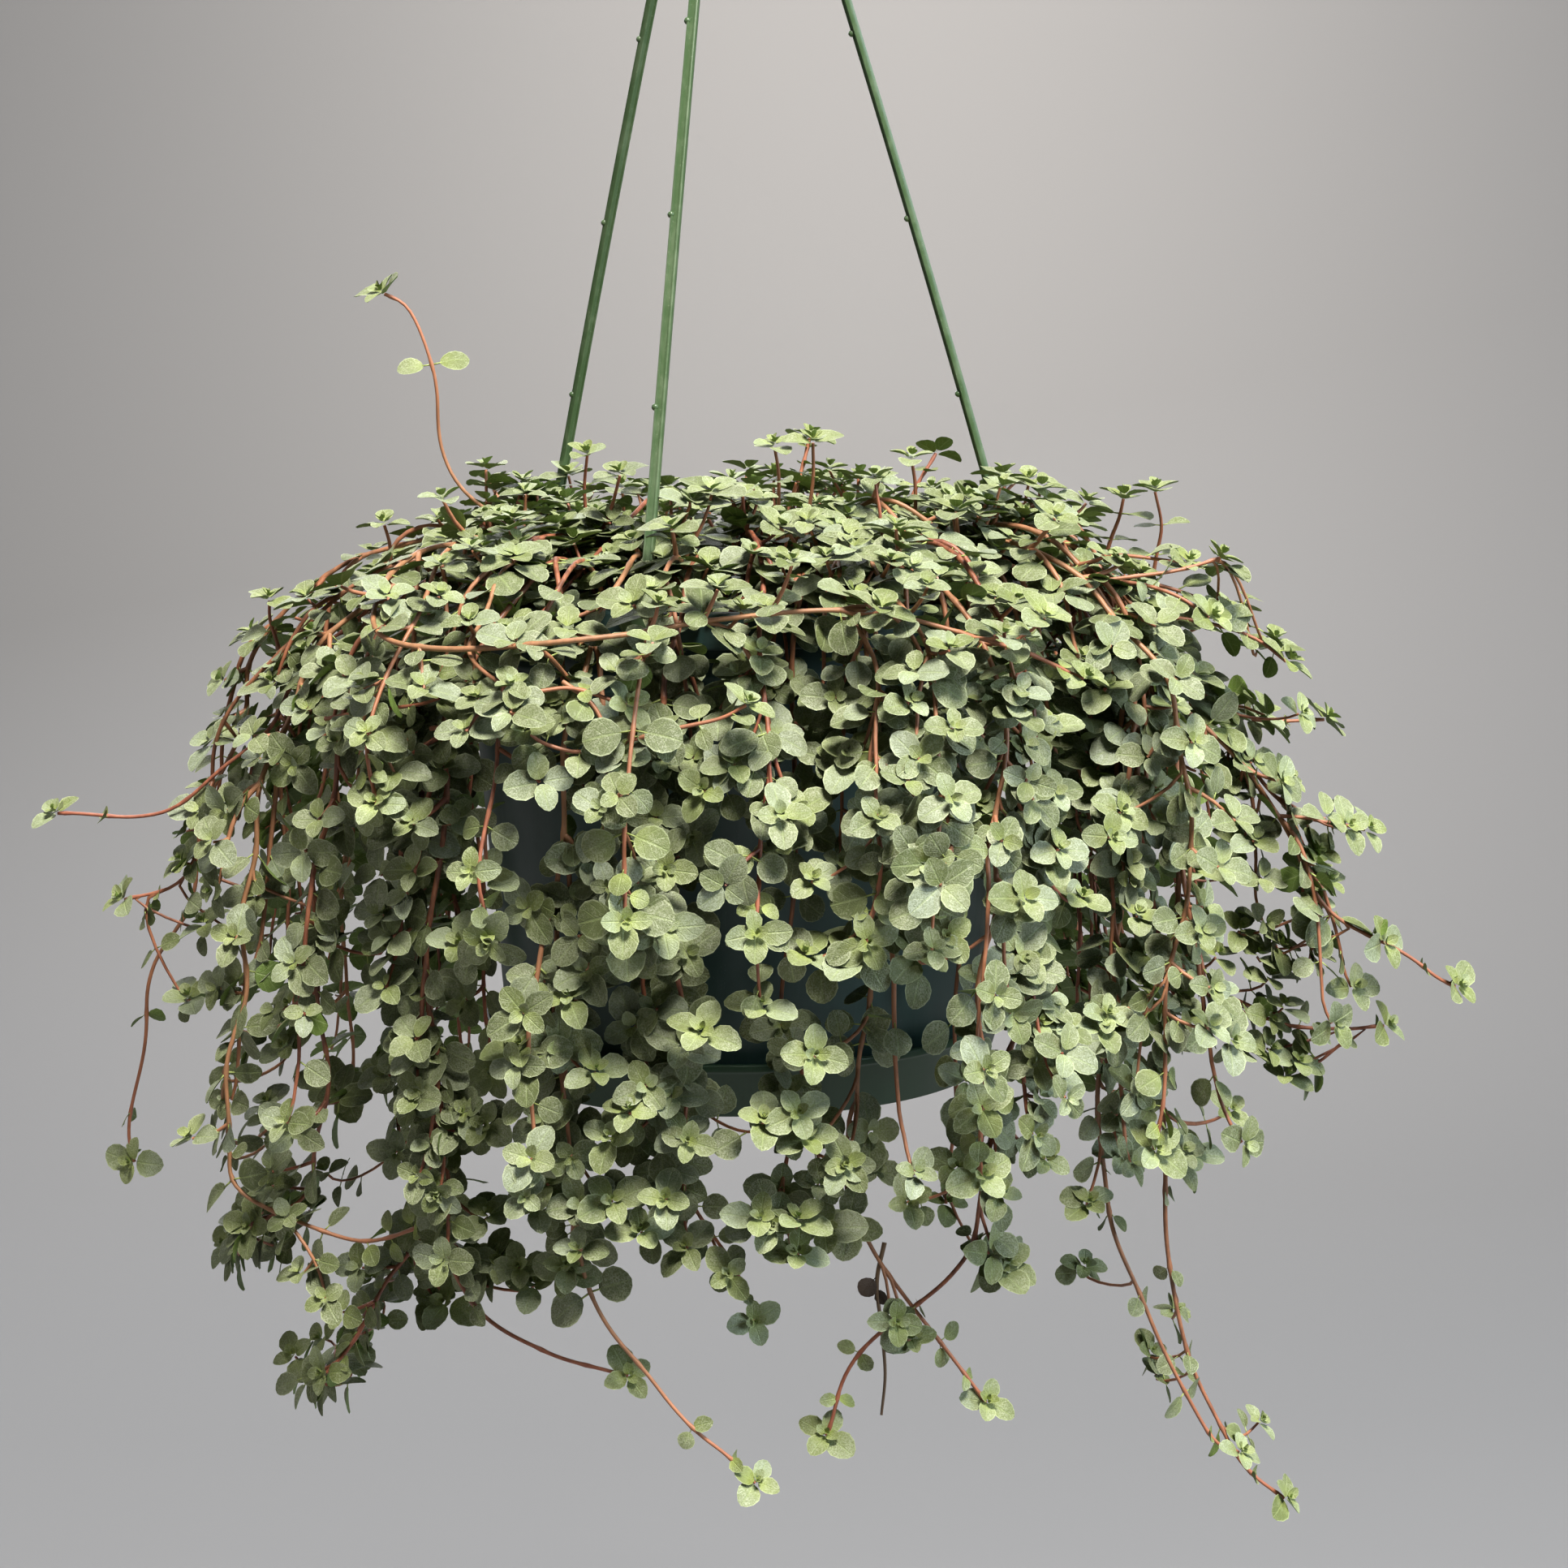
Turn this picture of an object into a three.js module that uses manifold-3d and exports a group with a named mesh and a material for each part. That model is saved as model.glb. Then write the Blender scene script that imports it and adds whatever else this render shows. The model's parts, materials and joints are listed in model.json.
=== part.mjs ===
// A hanging basket of trailing pilea: a tapered pot with its clip-on saucer, a moulded hanger
// with three strands and a hook, potting peat, and the vines that rise from it and hang down.
// Millimetres, +Z up. Seen from the front, +X is to the right and +Y is away.
// The origin is the highest point inside the hook, where the basket hangs.

import * as THREE from 'three';
import { mergeVertices } from 'three/addons/utils/BufferGeometryUtils.js';
import Module from 'manifold-3d';

const wasm = await Module();
wasm.setup();

// Heights below the hook. Heights named "h" further on are measured from the pot's rim.
const hubZ = -46;
const hubToRim = 248;
const rimZ = hubZ - hubToRim;
const seatGap = 0.3;

// Pot
const rimRadius = 78;
const skirtThickness = 1.5;
const skirtDrop = 9;
const wallTopRadius = 73.5;
const wallTaper = 0.072;
const wallThickness = 1.6;
const potFloorH = -124.6;
const potFootRadius = 63;
const potSegments = 32;
const drainHoles = 6;
const drainRadius = 4;
const drainCircle = 38;
const drainSides = 12;

// Button under the pot that snaps into the saucer
const buttonRadius = 4;
const buttonHeadRadius = 5.5;
const buttonHeadThickness = 1.5;
const buttonPlay = 0.35;

// Saucer
const saucerBaseH = -129.5;
const saucerBaseRadius = 66.5;
const saucerRimRadius = 71;
const saucerHeight = 14.5;
const saucerWall = 1.4;
const saucerRibOuter = 58;
const saucerRibInner = 54;

// Peat
const soilTopH = -12;

// Hanger
const strandAzimuths = [20, 134, -106];
const strandWidth = 2.6;
const strandDepth = 2;
const strandBow = 1.6;
const strandSteps = 8;
const strandFootTop = 6;
const hubRadius = 5;
const hubHeight = 9;
const nubHeights = [50, 97, 146, 195];
const nubRadius = 1.3;
const footWidth = 7;
const footThickness = 2.2;
const footLip = 1.4;
const footLipTop = -4;
const footGap = 0.35;
const lipGap = 0.6;
const nubSide = 180;
const nubOffset = 1.1;
const strandStart = 0.5;
const strandSink = 2;
const hookRadius = 10;
const hookWire = 2;
const hookTurns = [-35, 0, 45, 90, 135, 180, 218];
const hookSteps = 22;
const hookSides = 6;

// Vines
const stemRadius = 1.1;
const stemSides = 3;
const stemStep = 20;
const stemRootDepth = 3;
const stemClearance = 3.4;
const rimAllowance = 1;
const samplesPerSpan = 16;
const clearanceTries = 60;
const clearanceShift = 1.3;
const goldenAngle = 2.399963;
const leafPairSpacing = 38;
const leafStart = 26;
const leafLength = 13;
const tipLeafLength = 8;
const leafWidthShare = 0.42;
const leafWidestShare = 0.62;
const leafLean = 0.25;
const leafFold = 1.4;
const leafGap = 0.4;
const vineSeed = 20417;

const potGreen = new THREE.MeshStandardMaterial({ color: 0x1f4a45, roughness: 0.45, metalness: 0 });
const saucerGreen = new THREE.MeshStandardMaterial({ color: 0x16331f, roughness: 0.4, metalness: 0 });
const hangerGreen = new THREE.MeshStandardMaterial({ color: 0x2f5a38, roughness: 0.45, metalness: 0 });
const peatBrown = new THREE.MeshStandardMaterial({ color: 0x2a1d14, roughness: 0.98, metalness: 0 });
const leafGreen = new THREE.MeshStandardMaterial({ color: 0x8fa583, roughness: 0.6, metalness: 0 });

const basket = new THREE.Group();

// Points on a horizontal circle, from an azimuth in degrees.
function around(radius, azimuth, z) {
  const angle = THREE.MathUtils.degToRad(azimuth);
  return new THREE.Vector3(radius * Math.cos(angle), radius * Math.sin(angle), z);
}

// A closed solid from a three.js shape: doubled corners are merged, flat slivers dropped,
// and the faces turned outwards.
function solidOf(geometry) {
  const bare = new THREE.BufferGeometry();
  bare.setAttribute('position', geometry.getAttribute('position').clone());
  if (geometry.index) bare.setIndex(geometry.index.clone());
  const merged = mergeVertices(bare, 1e-3);
  const position = merged.getAttribute('position').array;
  const index = merged.index.array;
  const kept = [];
  let volume = 0;
  for (let i = 0; i < index.length; i += 3) {
    const [a, b, c] = [index[i], index[i + 1], index[i + 2]];
    if (a === b || b === c || a === c) continue;
    kept.push(a, b, c);
    const pa = new THREE.Vector3().fromArray(position, 3 * a);
    const pb = new THREE.Vector3().fromArray(position, 3 * b);
    const pc = new THREE.Vector3().fromArray(position, 3 * c);
    volume += pa.dot(pb.cross(pc));
  }
  if (volume < 0) kept.reverse();
  return new wasm.Manifold(new wasm.Mesh({
    numProp: 3,
    vertProperties: new Float32Array(position),
    triVerts: new Uint32Array(kept),
  }));
}

function addPiece(name, solid, material) {
  const mesh = solid.getMesh();
  const geometry = new THREE.BufferGeometry();
  geometry.setAttribute('position', new THREE.BufferAttribute(new Float32Array(mesh.vertProperties), 3));
  geometry.setIndex(Array.from(mesh.triVerts));
  geometry.computeVertexNormals();
  const piece = new THREE.Mesh(geometry, material);
  piece.name = name;
  basket.add(piece);
}

// A turned shape: the outline is a list of [radius, h] pairs, closed on itself or on the axis.
function turned(outline, segments) {
  const points = outline.map(([radius, h]) => new THREE.Vector2(radius, h));
  const geometry = new THREE.LatheGeometry(points, segments);
  geometry.rotateX(Math.PI / 2);
  geometry.translate(0, 0, rimZ);
  return solidOf(geometry);
}

// A regular section with flats, for tubes and rods.
function section(halfWidth, halfDepth, sides) {
  const shape = new THREE.Shape();
  for (let i = 0; i < sides; i += 1) {
    const angle = (i + 0.5) * 2 * Math.PI / sides;
    const x = halfWidth * Math.cos(angle);
    const y = halfDepth * Math.sin(angle);
    if (i === 0) shape.moveTo(x, y);
    else shape.lineTo(x, y);
  }
  shape.closePath();
  return shape;
}

function rod(curve, shape, steps) {
  return solidOf(new THREE.ExtrudeGeometry(shape, { steps, extrudePath: curve }));
}

function wallRadius(h) {
  return wallTopRadius + wallTaper * h;
}

function innerRadius(h) {
  return wallRadius(h) - wallThickness;
}

function buildPot() {
  const buttonTop = saucerBaseH - seatGap;
  const buttonBottom = buttonTop - buttonHeadThickness;
  const floorTop = potFloorH + wallThickness;
  let pot = turned([
    [0, buttonBottom],
    [buttonHeadRadius, buttonBottom],
    [buttonHeadRadius, buttonTop],
    [buttonRadius, buttonTop],
    [buttonRadius, potFloorH],
    [potFootRadius, potFloorH],
    [wallRadius(potFloorH) - 0.2, potFloorH + 3],
    [wallRadius(-skirtThickness), -skirtThickness],
    [rimRadius - skirtThickness, -skirtThickness],
    [rimRadius - skirtThickness, -skirtDrop],
    [rimRadius, -skirtDrop],
    [rimRadius, 0],
    [innerRadius(0), 0],
    [innerRadius(floorTop), floorTop],
    [0, floorTop],
  ], potSegments);
  for (let i = 0; i < drainHoles; i += 1) {
    const hole = new THREE.CylinderGeometry(drainRadius, drainRadius, 4 * wallThickness, drainSides);
    hole.rotateX(Math.PI / 2);
    const place = around(drainCircle, (i + 0.5) * 360 / drainHoles, rimZ + potFloorH);
    hole.translate(place.x, place.y, place.z);
    pot = pot.subtract(solidOf(hole));
  }
  return pot;
}

function buildSaucer() {
  const floorTop = saucerBaseH + saucerWall;
  const rimTop = saucerBaseH + saucerHeight;
  const ribTop = potFloorH - seatGap;
  const holeRadius = buttonRadius + buttonPlay;
  return turned([
    [holeRadius, saucerBaseH],
    [saucerBaseRadius, saucerBaseH],
    [saucerRimRadius, rimTop],
    [saucerRimRadius - saucerWall, rimTop],
    [saucerBaseRadius - saucerWall + 0.3, floorTop],
    [saucerRibOuter, floorTop],
    [saucerRibOuter, ribTop],
    [saucerRibInner, ribTop],
    [saucerRibInner, floorTop],
    [holeRadius, floorTop],
    [holeRadius, saucerBaseH],
  ], potSegments);
}

function buildSoil() {
  const bottom = potFloorH + wallThickness + seatGap;
  return turned([
    [0, bottom],
    [innerRadius(bottom) - seatGap, bottom],
    [innerRadius(soilTopH) - seatGap, soilTopH],
    [0, soilTopH],
  ], potSegments);
}

// The line of one strand, from the hub down to its foot at the rim, bowed a little outwards.
function strandCurve(azimuth) {
  const top = around(strandStart, azimuth, hubZ - strandSink);
  const footRadius = rimRadius + footGap + footThickness / 2;
  const foot = around(footRadius, azimuth, rimZ + strandFootTop - strandSink);
  const middle = top.clone().add(foot).multiplyScalar(0.5);
  middle.add(around(2 * strandBow, azimuth, 0));
  return new THREE.QuadraticBezierCurve3(top, middle, foot);
}

// Where a strand passes a height above the rim.
function strandAt(azimuth, h) {
  const curve = strandCurve(azimuth);
  let best = curve.getPoint(0);
  for (let i = 0; i <= 200; i += 1) {
    const point = curve.getPoint(i / 200);
    if (Math.abs(point.z - rimZ - h) < Math.abs(best.z - rimZ - h)) best = point;
  }
  return best;
}

// The strand's foot: a J that runs down outside the rim's skirt, turns in under it and up behind it.
function buildFoot(azimuth) {
  const inner = rimRadius + footGap;
  const outer = inner + footThickness;
  const bottom = -skirtDrop - seatGap - footThickness;
  const lipOuter = rimRadius - skirtThickness - lipGap;
  const lipInner = lipOuter - footLip;
  const shape = new THREE.Shape();
  shape.moveTo(outer, strandFootTop);
  shape.lineTo(inner, strandFootTop);
  shape.lineTo(inner, -skirtDrop - seatGap);
  shape.lineTo(lipOuter, -skirtDrop - seatGap);
  shape.lineTo(lipOuter, footLipTop);
  shape.lineTo(lipInner, footLipTop);
  shape.lineTo(lipInner, bottom);
  shape.lineTo(outer, bottom);
  shape.closePath();
  const geometry = new THREE.ExtrudeGeometry(shape, { depth: footWidth, bevelEnabled: false });
  geometry.rotateX(Math.PI / 2);
  geometry.translate(0, footWidth / 2, rimZ);
  geometry.rotateZ(THREE.MathUtils.degToRad(azimuth));
  return solidOf(geometry);
}

function buildHanger() {
  const wireRing = hookRadius + hookWire;
  const ringZ = -hookRadius;
  const path = hookTurns.map((degrees) => {
    const point = around(wireRing, degrees, 0);
    return new THREE.Vector3(point.x, 0, ringZ + point.y);
  });
  path.push(new THREE.Vector3(-3, 0, ringZ - 13.5));
  path.push(new THREE.Vector3(0, 0, ringZ - 20));
  path.push(new THREE.Vector3(0, 0, hubZ));
  let hanger = rod(new THREE.CatmullRomCurve3(path), section(hookWire, hookWire, hookSides), hookSteps);
  const hub = new THREE.CylinderGeometry(hubRadius * 0.6, hubRadius, hubHeight, 12);
  hub.rotateX(Math.PI / 2);
  hub.translate(0, 0, hubZ);
  hanger = hanger.add(solidOf(hub));
  for (const azimuth of strandAzimuths) {
    const strand = rod(strandCurve(azimuth), section(strandWidth / 2, strandDepth / 2, 6), strandSteps);
    hanger = hanger.add(strand).add(buildFoot(azimuth));
    for (const h of nubHeights) {
      const nub = new THREE.OctahedronGeometry(nubRadius);
      const place = strandAt(azimuth, h).add(around(nubOffset, nubSide, 0));
      nub.translate(place.x, place.y, place.z);
      hanger = hanger.add(solidOf(nub));
    }
  }
  return hanger;
}

// Vines placed one by one. The first pair is where the stem leaves the peat, and the rest are
// [x, y, h] places that it passes, down to its tip.
const placedVines = [
  // The upright shoot that stands clear of the mound on the left
  [[-38, 8], [-48, 6, 8], [-64, 2, 18], [-74, 0, 26], [-79, 0, 37], [-79, -2, 53], [-81, -3, 62],
    [-87, -4, 73], [-93, -4, 78]],
  // Left side: two level shoots, a hanging one, and the low sweep to the left
  [[-30, -8], [-62, -16, 12], [-104, -25, -8], [-123, -30, -33], [-143, -30, -51], [-158, -30, -56],
    [-178, -30, -55]],
  [[-34, -20], [-80, -32, 9], [-124, -36, -20], [-140, -26, -55], [-148, -22, -76], [-162, -22, -81]],
  [[-30, 4], [-70, 8, 12], [-118, 10, -4], [-140, 10, -50], [-151, 10, -88], [-160, 10, -105],
    [-165, 10, -125], [-168, 10, -161]],
  [[-26, -18], [-66, -34, 10], [-104, -48, -8], [-122, -54, -52], [-128, -60, -103], [-132, -60, -134],
    [-126, -65, -150], [-98, -70, -160], [-77, -75, -153]],
  [[-20, -26], [-44, -50, 17], [-68, -74, -2], [-80, -80, -60], [-82, -68, -125], [-79, -60, -153],
    [-94, -60, -179], [-109, -60, -197]],
  [[-40, -32], [-62, -56, 14], [-92, -78, -12], [-104, -78, -70], [-106, -70, -130], [-112, -62, -150],
    [-126, -58, -160]],
  // Long trailers in front, left of the middle
  [[-12, -34], [-24, -68, 14], [-36, -100, -12], [-43, -104, -60], [-42, -97, -127], [-36, -95, -168],
    [-21, -95, -192], [-5, -95, -208], [4, -95, -217]],
  [[-28, -38], [-44, -66, 13], [-64, -92, -14], [-74, -94, -70], [-76, -84, -140], [-70, -80, -172],
    [-50, -82, -185], [-28, -85, -192]],
  [[-4, -38], [-8, -70, 14], [-16, -100, -12], [-20, -104, -60], [-18, -92, -128], [-13, -90, -143],
    [1, -90, -168], [3, -90, -176]],
  // Long trailers in front, right of the middle
  [[24, -26], [44, -56, 17], [67, -86, -6], [73, -94, -60], [66, -84, -111], [60, -80, -150],
    [52, -80, -167], [30, -80, -187], [21, -80, -210]],
  [[10, -28], [20, -62, 17], [30, -90, -12], [31, -92, -70], [24, -78, -130], [24, -72, -153],
    [38, -72, -177], [57, -72, -204]],
  [[34, -14], [66, -34, 18], [97, -54, -6], [99, -60, -60], [92, -54, -118], [96, -50, -159],
    [105, -50, -188], [122, -50, -219], [131, -50, -226]],
  [[46, -6], [76, -22, 14], [106, -38, -8], [114, -42, -60], [110, -40, -120], [112, -40, -170],
    [118, -40, -203], [130, -40, -229], [144, -40, -242]],
  // Right side: shoots that reach out level or slant down
  [[30, -6], [70, -18, 21], [106, -28, -16], [125, -30, -40], [138, -30, -55], [155, -30, -82],
    [179, -30, -100], [188, -30, -105]],
  [[44, 6], [82, -4, 15], [113, -14, -18], [129, -20, -38], [141, -20, -54], [152, -18, -63],
    [166, -18, -65]],
  [[42, -22], [72, -36, 12], [96, -42, -18], [102, -36, -70], [107, -28, -98], [131, -22, -111],
    [158, -20, -119], [172, -20, -118]],
  [[26, 12], [68, 16, 20], [104, 14, -8], [120, 12, -26], [139, 10, -38], [160, 10, -39]],
  [[8, -12], [32, -26, 21], [61, -34, 6], [89, -34, 1], [122, -32, 5]],
  // Two stems that cross the front of the mound
  [[-50, -20], [-66, -40, 13], [-84, -68, 8], [-84, -92, -2], [-66, -106, -6], [-28, -111, -3],
    [0, -109, 1], [30, -107, 2], [66, -105, -6], [84, -102, -15]],
  [[-42, -44], [-47, -57, 9], [-52, -74, 11], [-60, -102, -5], [-50, -116, -14], [-36, -116, -14],
    [-22, -116, -19]],
  // Front vines whose bright ends face the viewer
  [[0, -28], [4, -60, 18], [7, -96, 0], [7, -113, -24], [7, -122, -54], [4, -127, -70]],
  [[14, -44], [23, -80, 12], [32, -109, -8], [33, -118, -36], [32, -123, -72]],
  [[30, -44], [46, -76, 12], [63, -98, -10], [67, -105, -34], [63, -111, -64], [61, -111, -100],
    [61, -107, -136]],
  [[46, -30], [59, -39, 9], [74, -50, 13], [102, -67, -10], [114, -73, -51], [108, -76, -100],
    [106, -76, -137]],
  [[-8, -52], [-10, -67, 9], [-14, -84, 12], [-20, -113, -10], [-23, -125, -40], [-24, -131, -68]],
  [[24, -56], [27, -70, 9], [32, -88, 10], [42, -113, -10], [46, -125, -42], [46, -131, -73]],
  [[-30, -52], [-35, -66, 9], [-40, -80, 11], [-53, -105, -12], [-58, -117, -42], [-59, -122, -73]],
  [[-56, -22], [-64, -38, 11], [-72, -56, 12], [-83, -85, -6], [-88, -98, -28], [-88, -102, -45]],
  // Short upright shoots on top of the mound
  [[8, 22], [12, 25, 10], [16, 28, 26], [19, 30, 38]],
  [[40, 26], [44, 30, 8], [48, 34, 22], [54, 37, 33]],
];

// Vines spread by rule. Each ring fills an arc of azimuths, with sizes drawn between two ends.
const vineRings = [
  { count: 9, from: 14, to: 168, root: [54, 64], reach: [92, 114], crest: [8, 11], drop: [110, 160] },
  { count: 9, from: 22, to: 160, root: [20, 44], reach: [128, 152], crest: [9, 15], drop: [80, 160] },
  { count: 6, from: -170, to: -12, root: [60, 66], reach: [87, 94], crest: [7, 9], drop: [112, 160] },
];

// Seeded draws between two numbers: the same list on every run.
function makeDraws(seed) {
  let state = seed;
  return (low, high) => {
    state = (state * 16807) % 2147483647;
    return low + (high - low) * (state / 2147483647);
  };
}

// Places along one vine of a ring, in the same form as the placed vines.
function ringVine(azimuth, root, reach, crest, drop, sway, flare) {
  const span = reach - root;
  const steps = [
    [root, soilTopH - stemRootDepth, 0],
    [root + 0.2 * span, 0.75 * crest, 0.05],
    [root + 0.5 * span, crest, 0.15],
    [root + 0.82 * span, crest - 0.17 * span, 0.35],
    [reach, crest - 0.42 * span - 6, 0.5],
    [reach + 0.6 * flare, -0.6 * drop, 0.75],
    [reach + flare, -drop, 1],
  ];
  return steps.map(([radius, h, share]) => around(radius, azimuth + sway * share, rimZ + h));
}

// Every vine's places, in order: those placed by hand first, then the rings.
function vineRoutes() {
  const routes = placedVines.map((places) => places.map(([x, y, h]) => {
    const height = h === undefined ? soilTopH - stemRootDepth : h;
    return new THREE.Vector3(x, y, rimZ + height);
  }));
  const draw = makeDraws(vineSeed);
  for (const ring of vineRings) {
    for (let i = 0; i < ring.count; i += 1) {
      const step = (ring.to - ring.from) / (ring.count - 1);
      const azimuth = ring.from + step * i + draw(-3, 3);
      const root = draw(...ring.root);
      const reach = draw(...ring.reach);
      const crest = draw(...ring.crest);
      const drop = draw(...ring.drop);
      const sway = draw(-10, 10);
      const flare = draw(-10, 8);
      routes.push(ringVine(azimuth, root, reach, crest, drop, sway, flare));
    }
  }
  return routes;
}

function smooth(route) {
  return new THREE.CatmullRomCurve3(route, false, 'catmullrom', 0.5);
}

function samplesOf(route) {
  const pieces = (route.length - 1) * samplesPerSpan;
  return smooth(route).getPoints(pieces);
}

// The distance from a point to the pot's rim and wall.
function potDistance(point) {
  const h = point.z - rimZ;
  const radius = Math.hypot(point.x, point.y);
  const aside = Math.max(innerRadius(0) - radius, radius - rimRadius, 0);
  return h < 0 ? aside : Math.hypot(aside, h);
}

// The shortest distance from a vine's line to the lines placed before it, and to the pot.
function clearOf(samples, placed) {
  let nearest = Math.min(...samples.map(potDistance)) + rimAllowance;
  for (const other of placed) {
    for (const a of samples) {
      for (const b of other) {
        nearest = Math.min(nearest, a.distanceTo(b));
      }
    }
  }
  return nearest;
}

// Vines keep clear of each other and of the strands: one that comes too near is shifted a little
// further each time, turning by the golden angle, until it is clear.
function settleRoutes(routes) {
  const placed = strandAzimuths.map((azimuth) => {
    const foot = [];
    for (let h = -12; h <= 6; h += 2) {
      for (const turn of [-2.3, 0, 2.3]) {
        foot.push(around(rimRadius + footThickness, azimuth + turn, rimZ + h));
      }
    }
    return strandCurve(azimuth).getPoints(120).concat(foot);
  });
  return routes.map((route) => {
    let best = null;
    let bestGap = -1;
    for (let attempt = 0; attempt < clearanceTries; attempt += 1) {
      const size = clearanceShift * Math.sqrt(attempt);
      const angle = attempt * goldenAngle;
      const shift = new THREE.Vector3(size * Math.cos(angle), size * Math.sin(angle), 0.4 * size);
      const tried = route.map((point, i) => {
        const share = Math.min(1, 0.5 + 0.5 * i);
        const moved = point.clone().addScaledVector(shift, share);
        if (i === 0) moved.z = point.z;
        return moved;
      });
      const samples = samplesOf(tried);
      const gap = clearOf(samples, placed);
      if (gap > bestGap) {
        best = tried;
        bestGap = gap;
      }
      if (bestGap >= stemClearance) break;
    }
    placed.push(samplesOf(best));
    return best;
  });
}

// One leaf, with its petiole, as a thin folded kite: pointed at the stem and at the tip.
function leafSolid(place, along, normal, length, room) {
  const side = new THREE.Vector3().crossVectors(normal, along).normalize();
  const up = new THREE.Vector3().crossVectors(along, side).normalize();
  const widest = place.clone().addScaledVector(along, leafWidestShare * length);
  const half = leafWidthShare * length + room;
  const corners = [
    place.clone().addScaledVector(up, -room),
    place.clone().addScaledVector(along, length + room).addScaledVector(up, -room),
    widest.clone().addScaledVector(side, half).addScaledVector(up, leafFold + room),
    widest.clone().addScaledVector(side, -half).addScaledVector(up, leafFold + room),
  ];
  const geometry = new THREE.BufferGeometry().setFromPoints(corners);
  geometry.setIndex([0, 1, 2, 1, 0, 3, 0, 2, 3, 1, 3, 2]);
  return solidOf(geometry);
}

// How a blade is turned: level on top of the mound, and facing out and up where the vine hangs.
function bladeNormal(place) {
  const h = place.z - rimZ;
  const outward = new THREE.Vector3(place.x, place.y, 0).normalize();
  const hanging = THREE.MathUtils.clamp((10 - h) / 50, 0, 1);
  return outward.multiplyScalar(0.15 + 0.85 * hanging).add(new THREE.Vector3(0, 0, 1 - 0.4 * hanging));
}

function boxesMeet(a, b) {
  return [0, 1, 2].every((i) => a.min[i] <= b.max[i] && b.min[i] <= a.max[i]);
}

function stemSteps(curve) {
  return Math.max(4, Math.round(curve.getLength() / stemStep));
}

// A place on the axis of a stem's straight lengths, at a share of the way to its tip.
function onStem(curve, share) {
  const steps = stemSteps(curve);
  const before = Math.min(steps - 1, Math.floor(share * steps));
  const from = curve.getPointAt(before / steps);
  return from.lerp(curve.getPointAt((before + 1) / steps), share * steps - before);
}

// Two directions square to a stem, one of them level.
function acrossStem(tangent, place) {
  const level = new THREE.Vector3().crossVectors(tangent, new THREE.Vector3(0, 0, 1));
  if (level.length() < 0.2) level.set(-place.y, place.x, 0);
  level.normalize();
  return [level, new THREE.Vector3().crossVectors(tangent, level).normalize()];
}

// Adds leaves in opposite pairs along each stem, each pair square to the last, where they stay
// clear of every other piece.
function leafVines(stems, curves, fixed) {
  const vines = [...stems];
  const isClear = (leaf, own) => {
    const box = leaf.boundingBox();
    const others = fixed.concat(vines.filter((vine, i) => i !== own));
    return others.every((other) => !boxesMeet(box, other.boundingBox())
      || leaf.intersect(other).isEmpty());
  };
  curves.forEach((curve, own) => {
    const length = curve.getLength();
    const count = Math.round((length - leafStart) / leafPairSpacing);
    for (let i = 0; i <= count; i += 1) {
      const isTip = i === count;
      const fromTip = isTip ? 0.8 : (count - i) * leafPairSpacing;
      const place = onStem(curve, 1 - fromTip / length);
      const tangent = curve.getTangentAt(1 - fromTip / length);
      const [level, upright] = acrossStem(tangent, place);
      const wanted = isTip ? tangent : bladeNormal(place);
      const size = isTip ? tipLeafLength : leafLength;
      const pair = i % 2 === 0 ? level : upright;
      for (const sign of [1, -1]) {
        const along = pair.clone().multiplyScalar(sign).addScaledVector(tangent, leafLean).normalize();
        const room = leafSolid(place, along, wanted, size, leafGap);
        if (!isClear(room, own)) continue;
        vines[own] = vines[own].add(leafSolid(place, along, wanted, size, 0));
      }
    }
  });
  return vines;
}

function buildVines(fixed) {
  const curves = settleRoutes(vineRoutes()).map(smooth);
  const rootCut = 20;
  const peat = new THREE.CylinderGeometry(potFootRadius + 7, potFootRadius + 7, rootCut, 16);
  peat.rotateX(Math.PI / 2);
  peat.translate(0, 0, rimZ + soilTopH + seatGap - rootCut / 2);
  const underPeat = solidOf(peat);
  const stems = curves.map((curve) => {
    const stem = rod(curve, section(stemRadius, stemRadius, stemSides), stemSteps(curve));
    return stem.subtract(underPeat);
  });
  return leafVines(stems, curves, fixed);
}

const pot = buildPot();
const saucer = buildSaucer();
const soil = buildSoil();
const hanger = buildHanger();

addPiece('hanger', hanger, hangerGreen);
addPiece('pot', pot, potGreen);
addPiece('saucer', saucer, saucerGreen);
addPiece('soil', soil, peatBrown);
buildVines([hanger, pot, saucer, soil]).forEach((vine, i) => {
  addPiece(`vine_${String(i + 1).padStart(2, '0')}`, vine, leafGreen);
});

export default basket;
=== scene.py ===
import json
import math
import random

import bmesh
import bpy
import numpy as np
from mathutils import Matrix, Vector, noise

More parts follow.
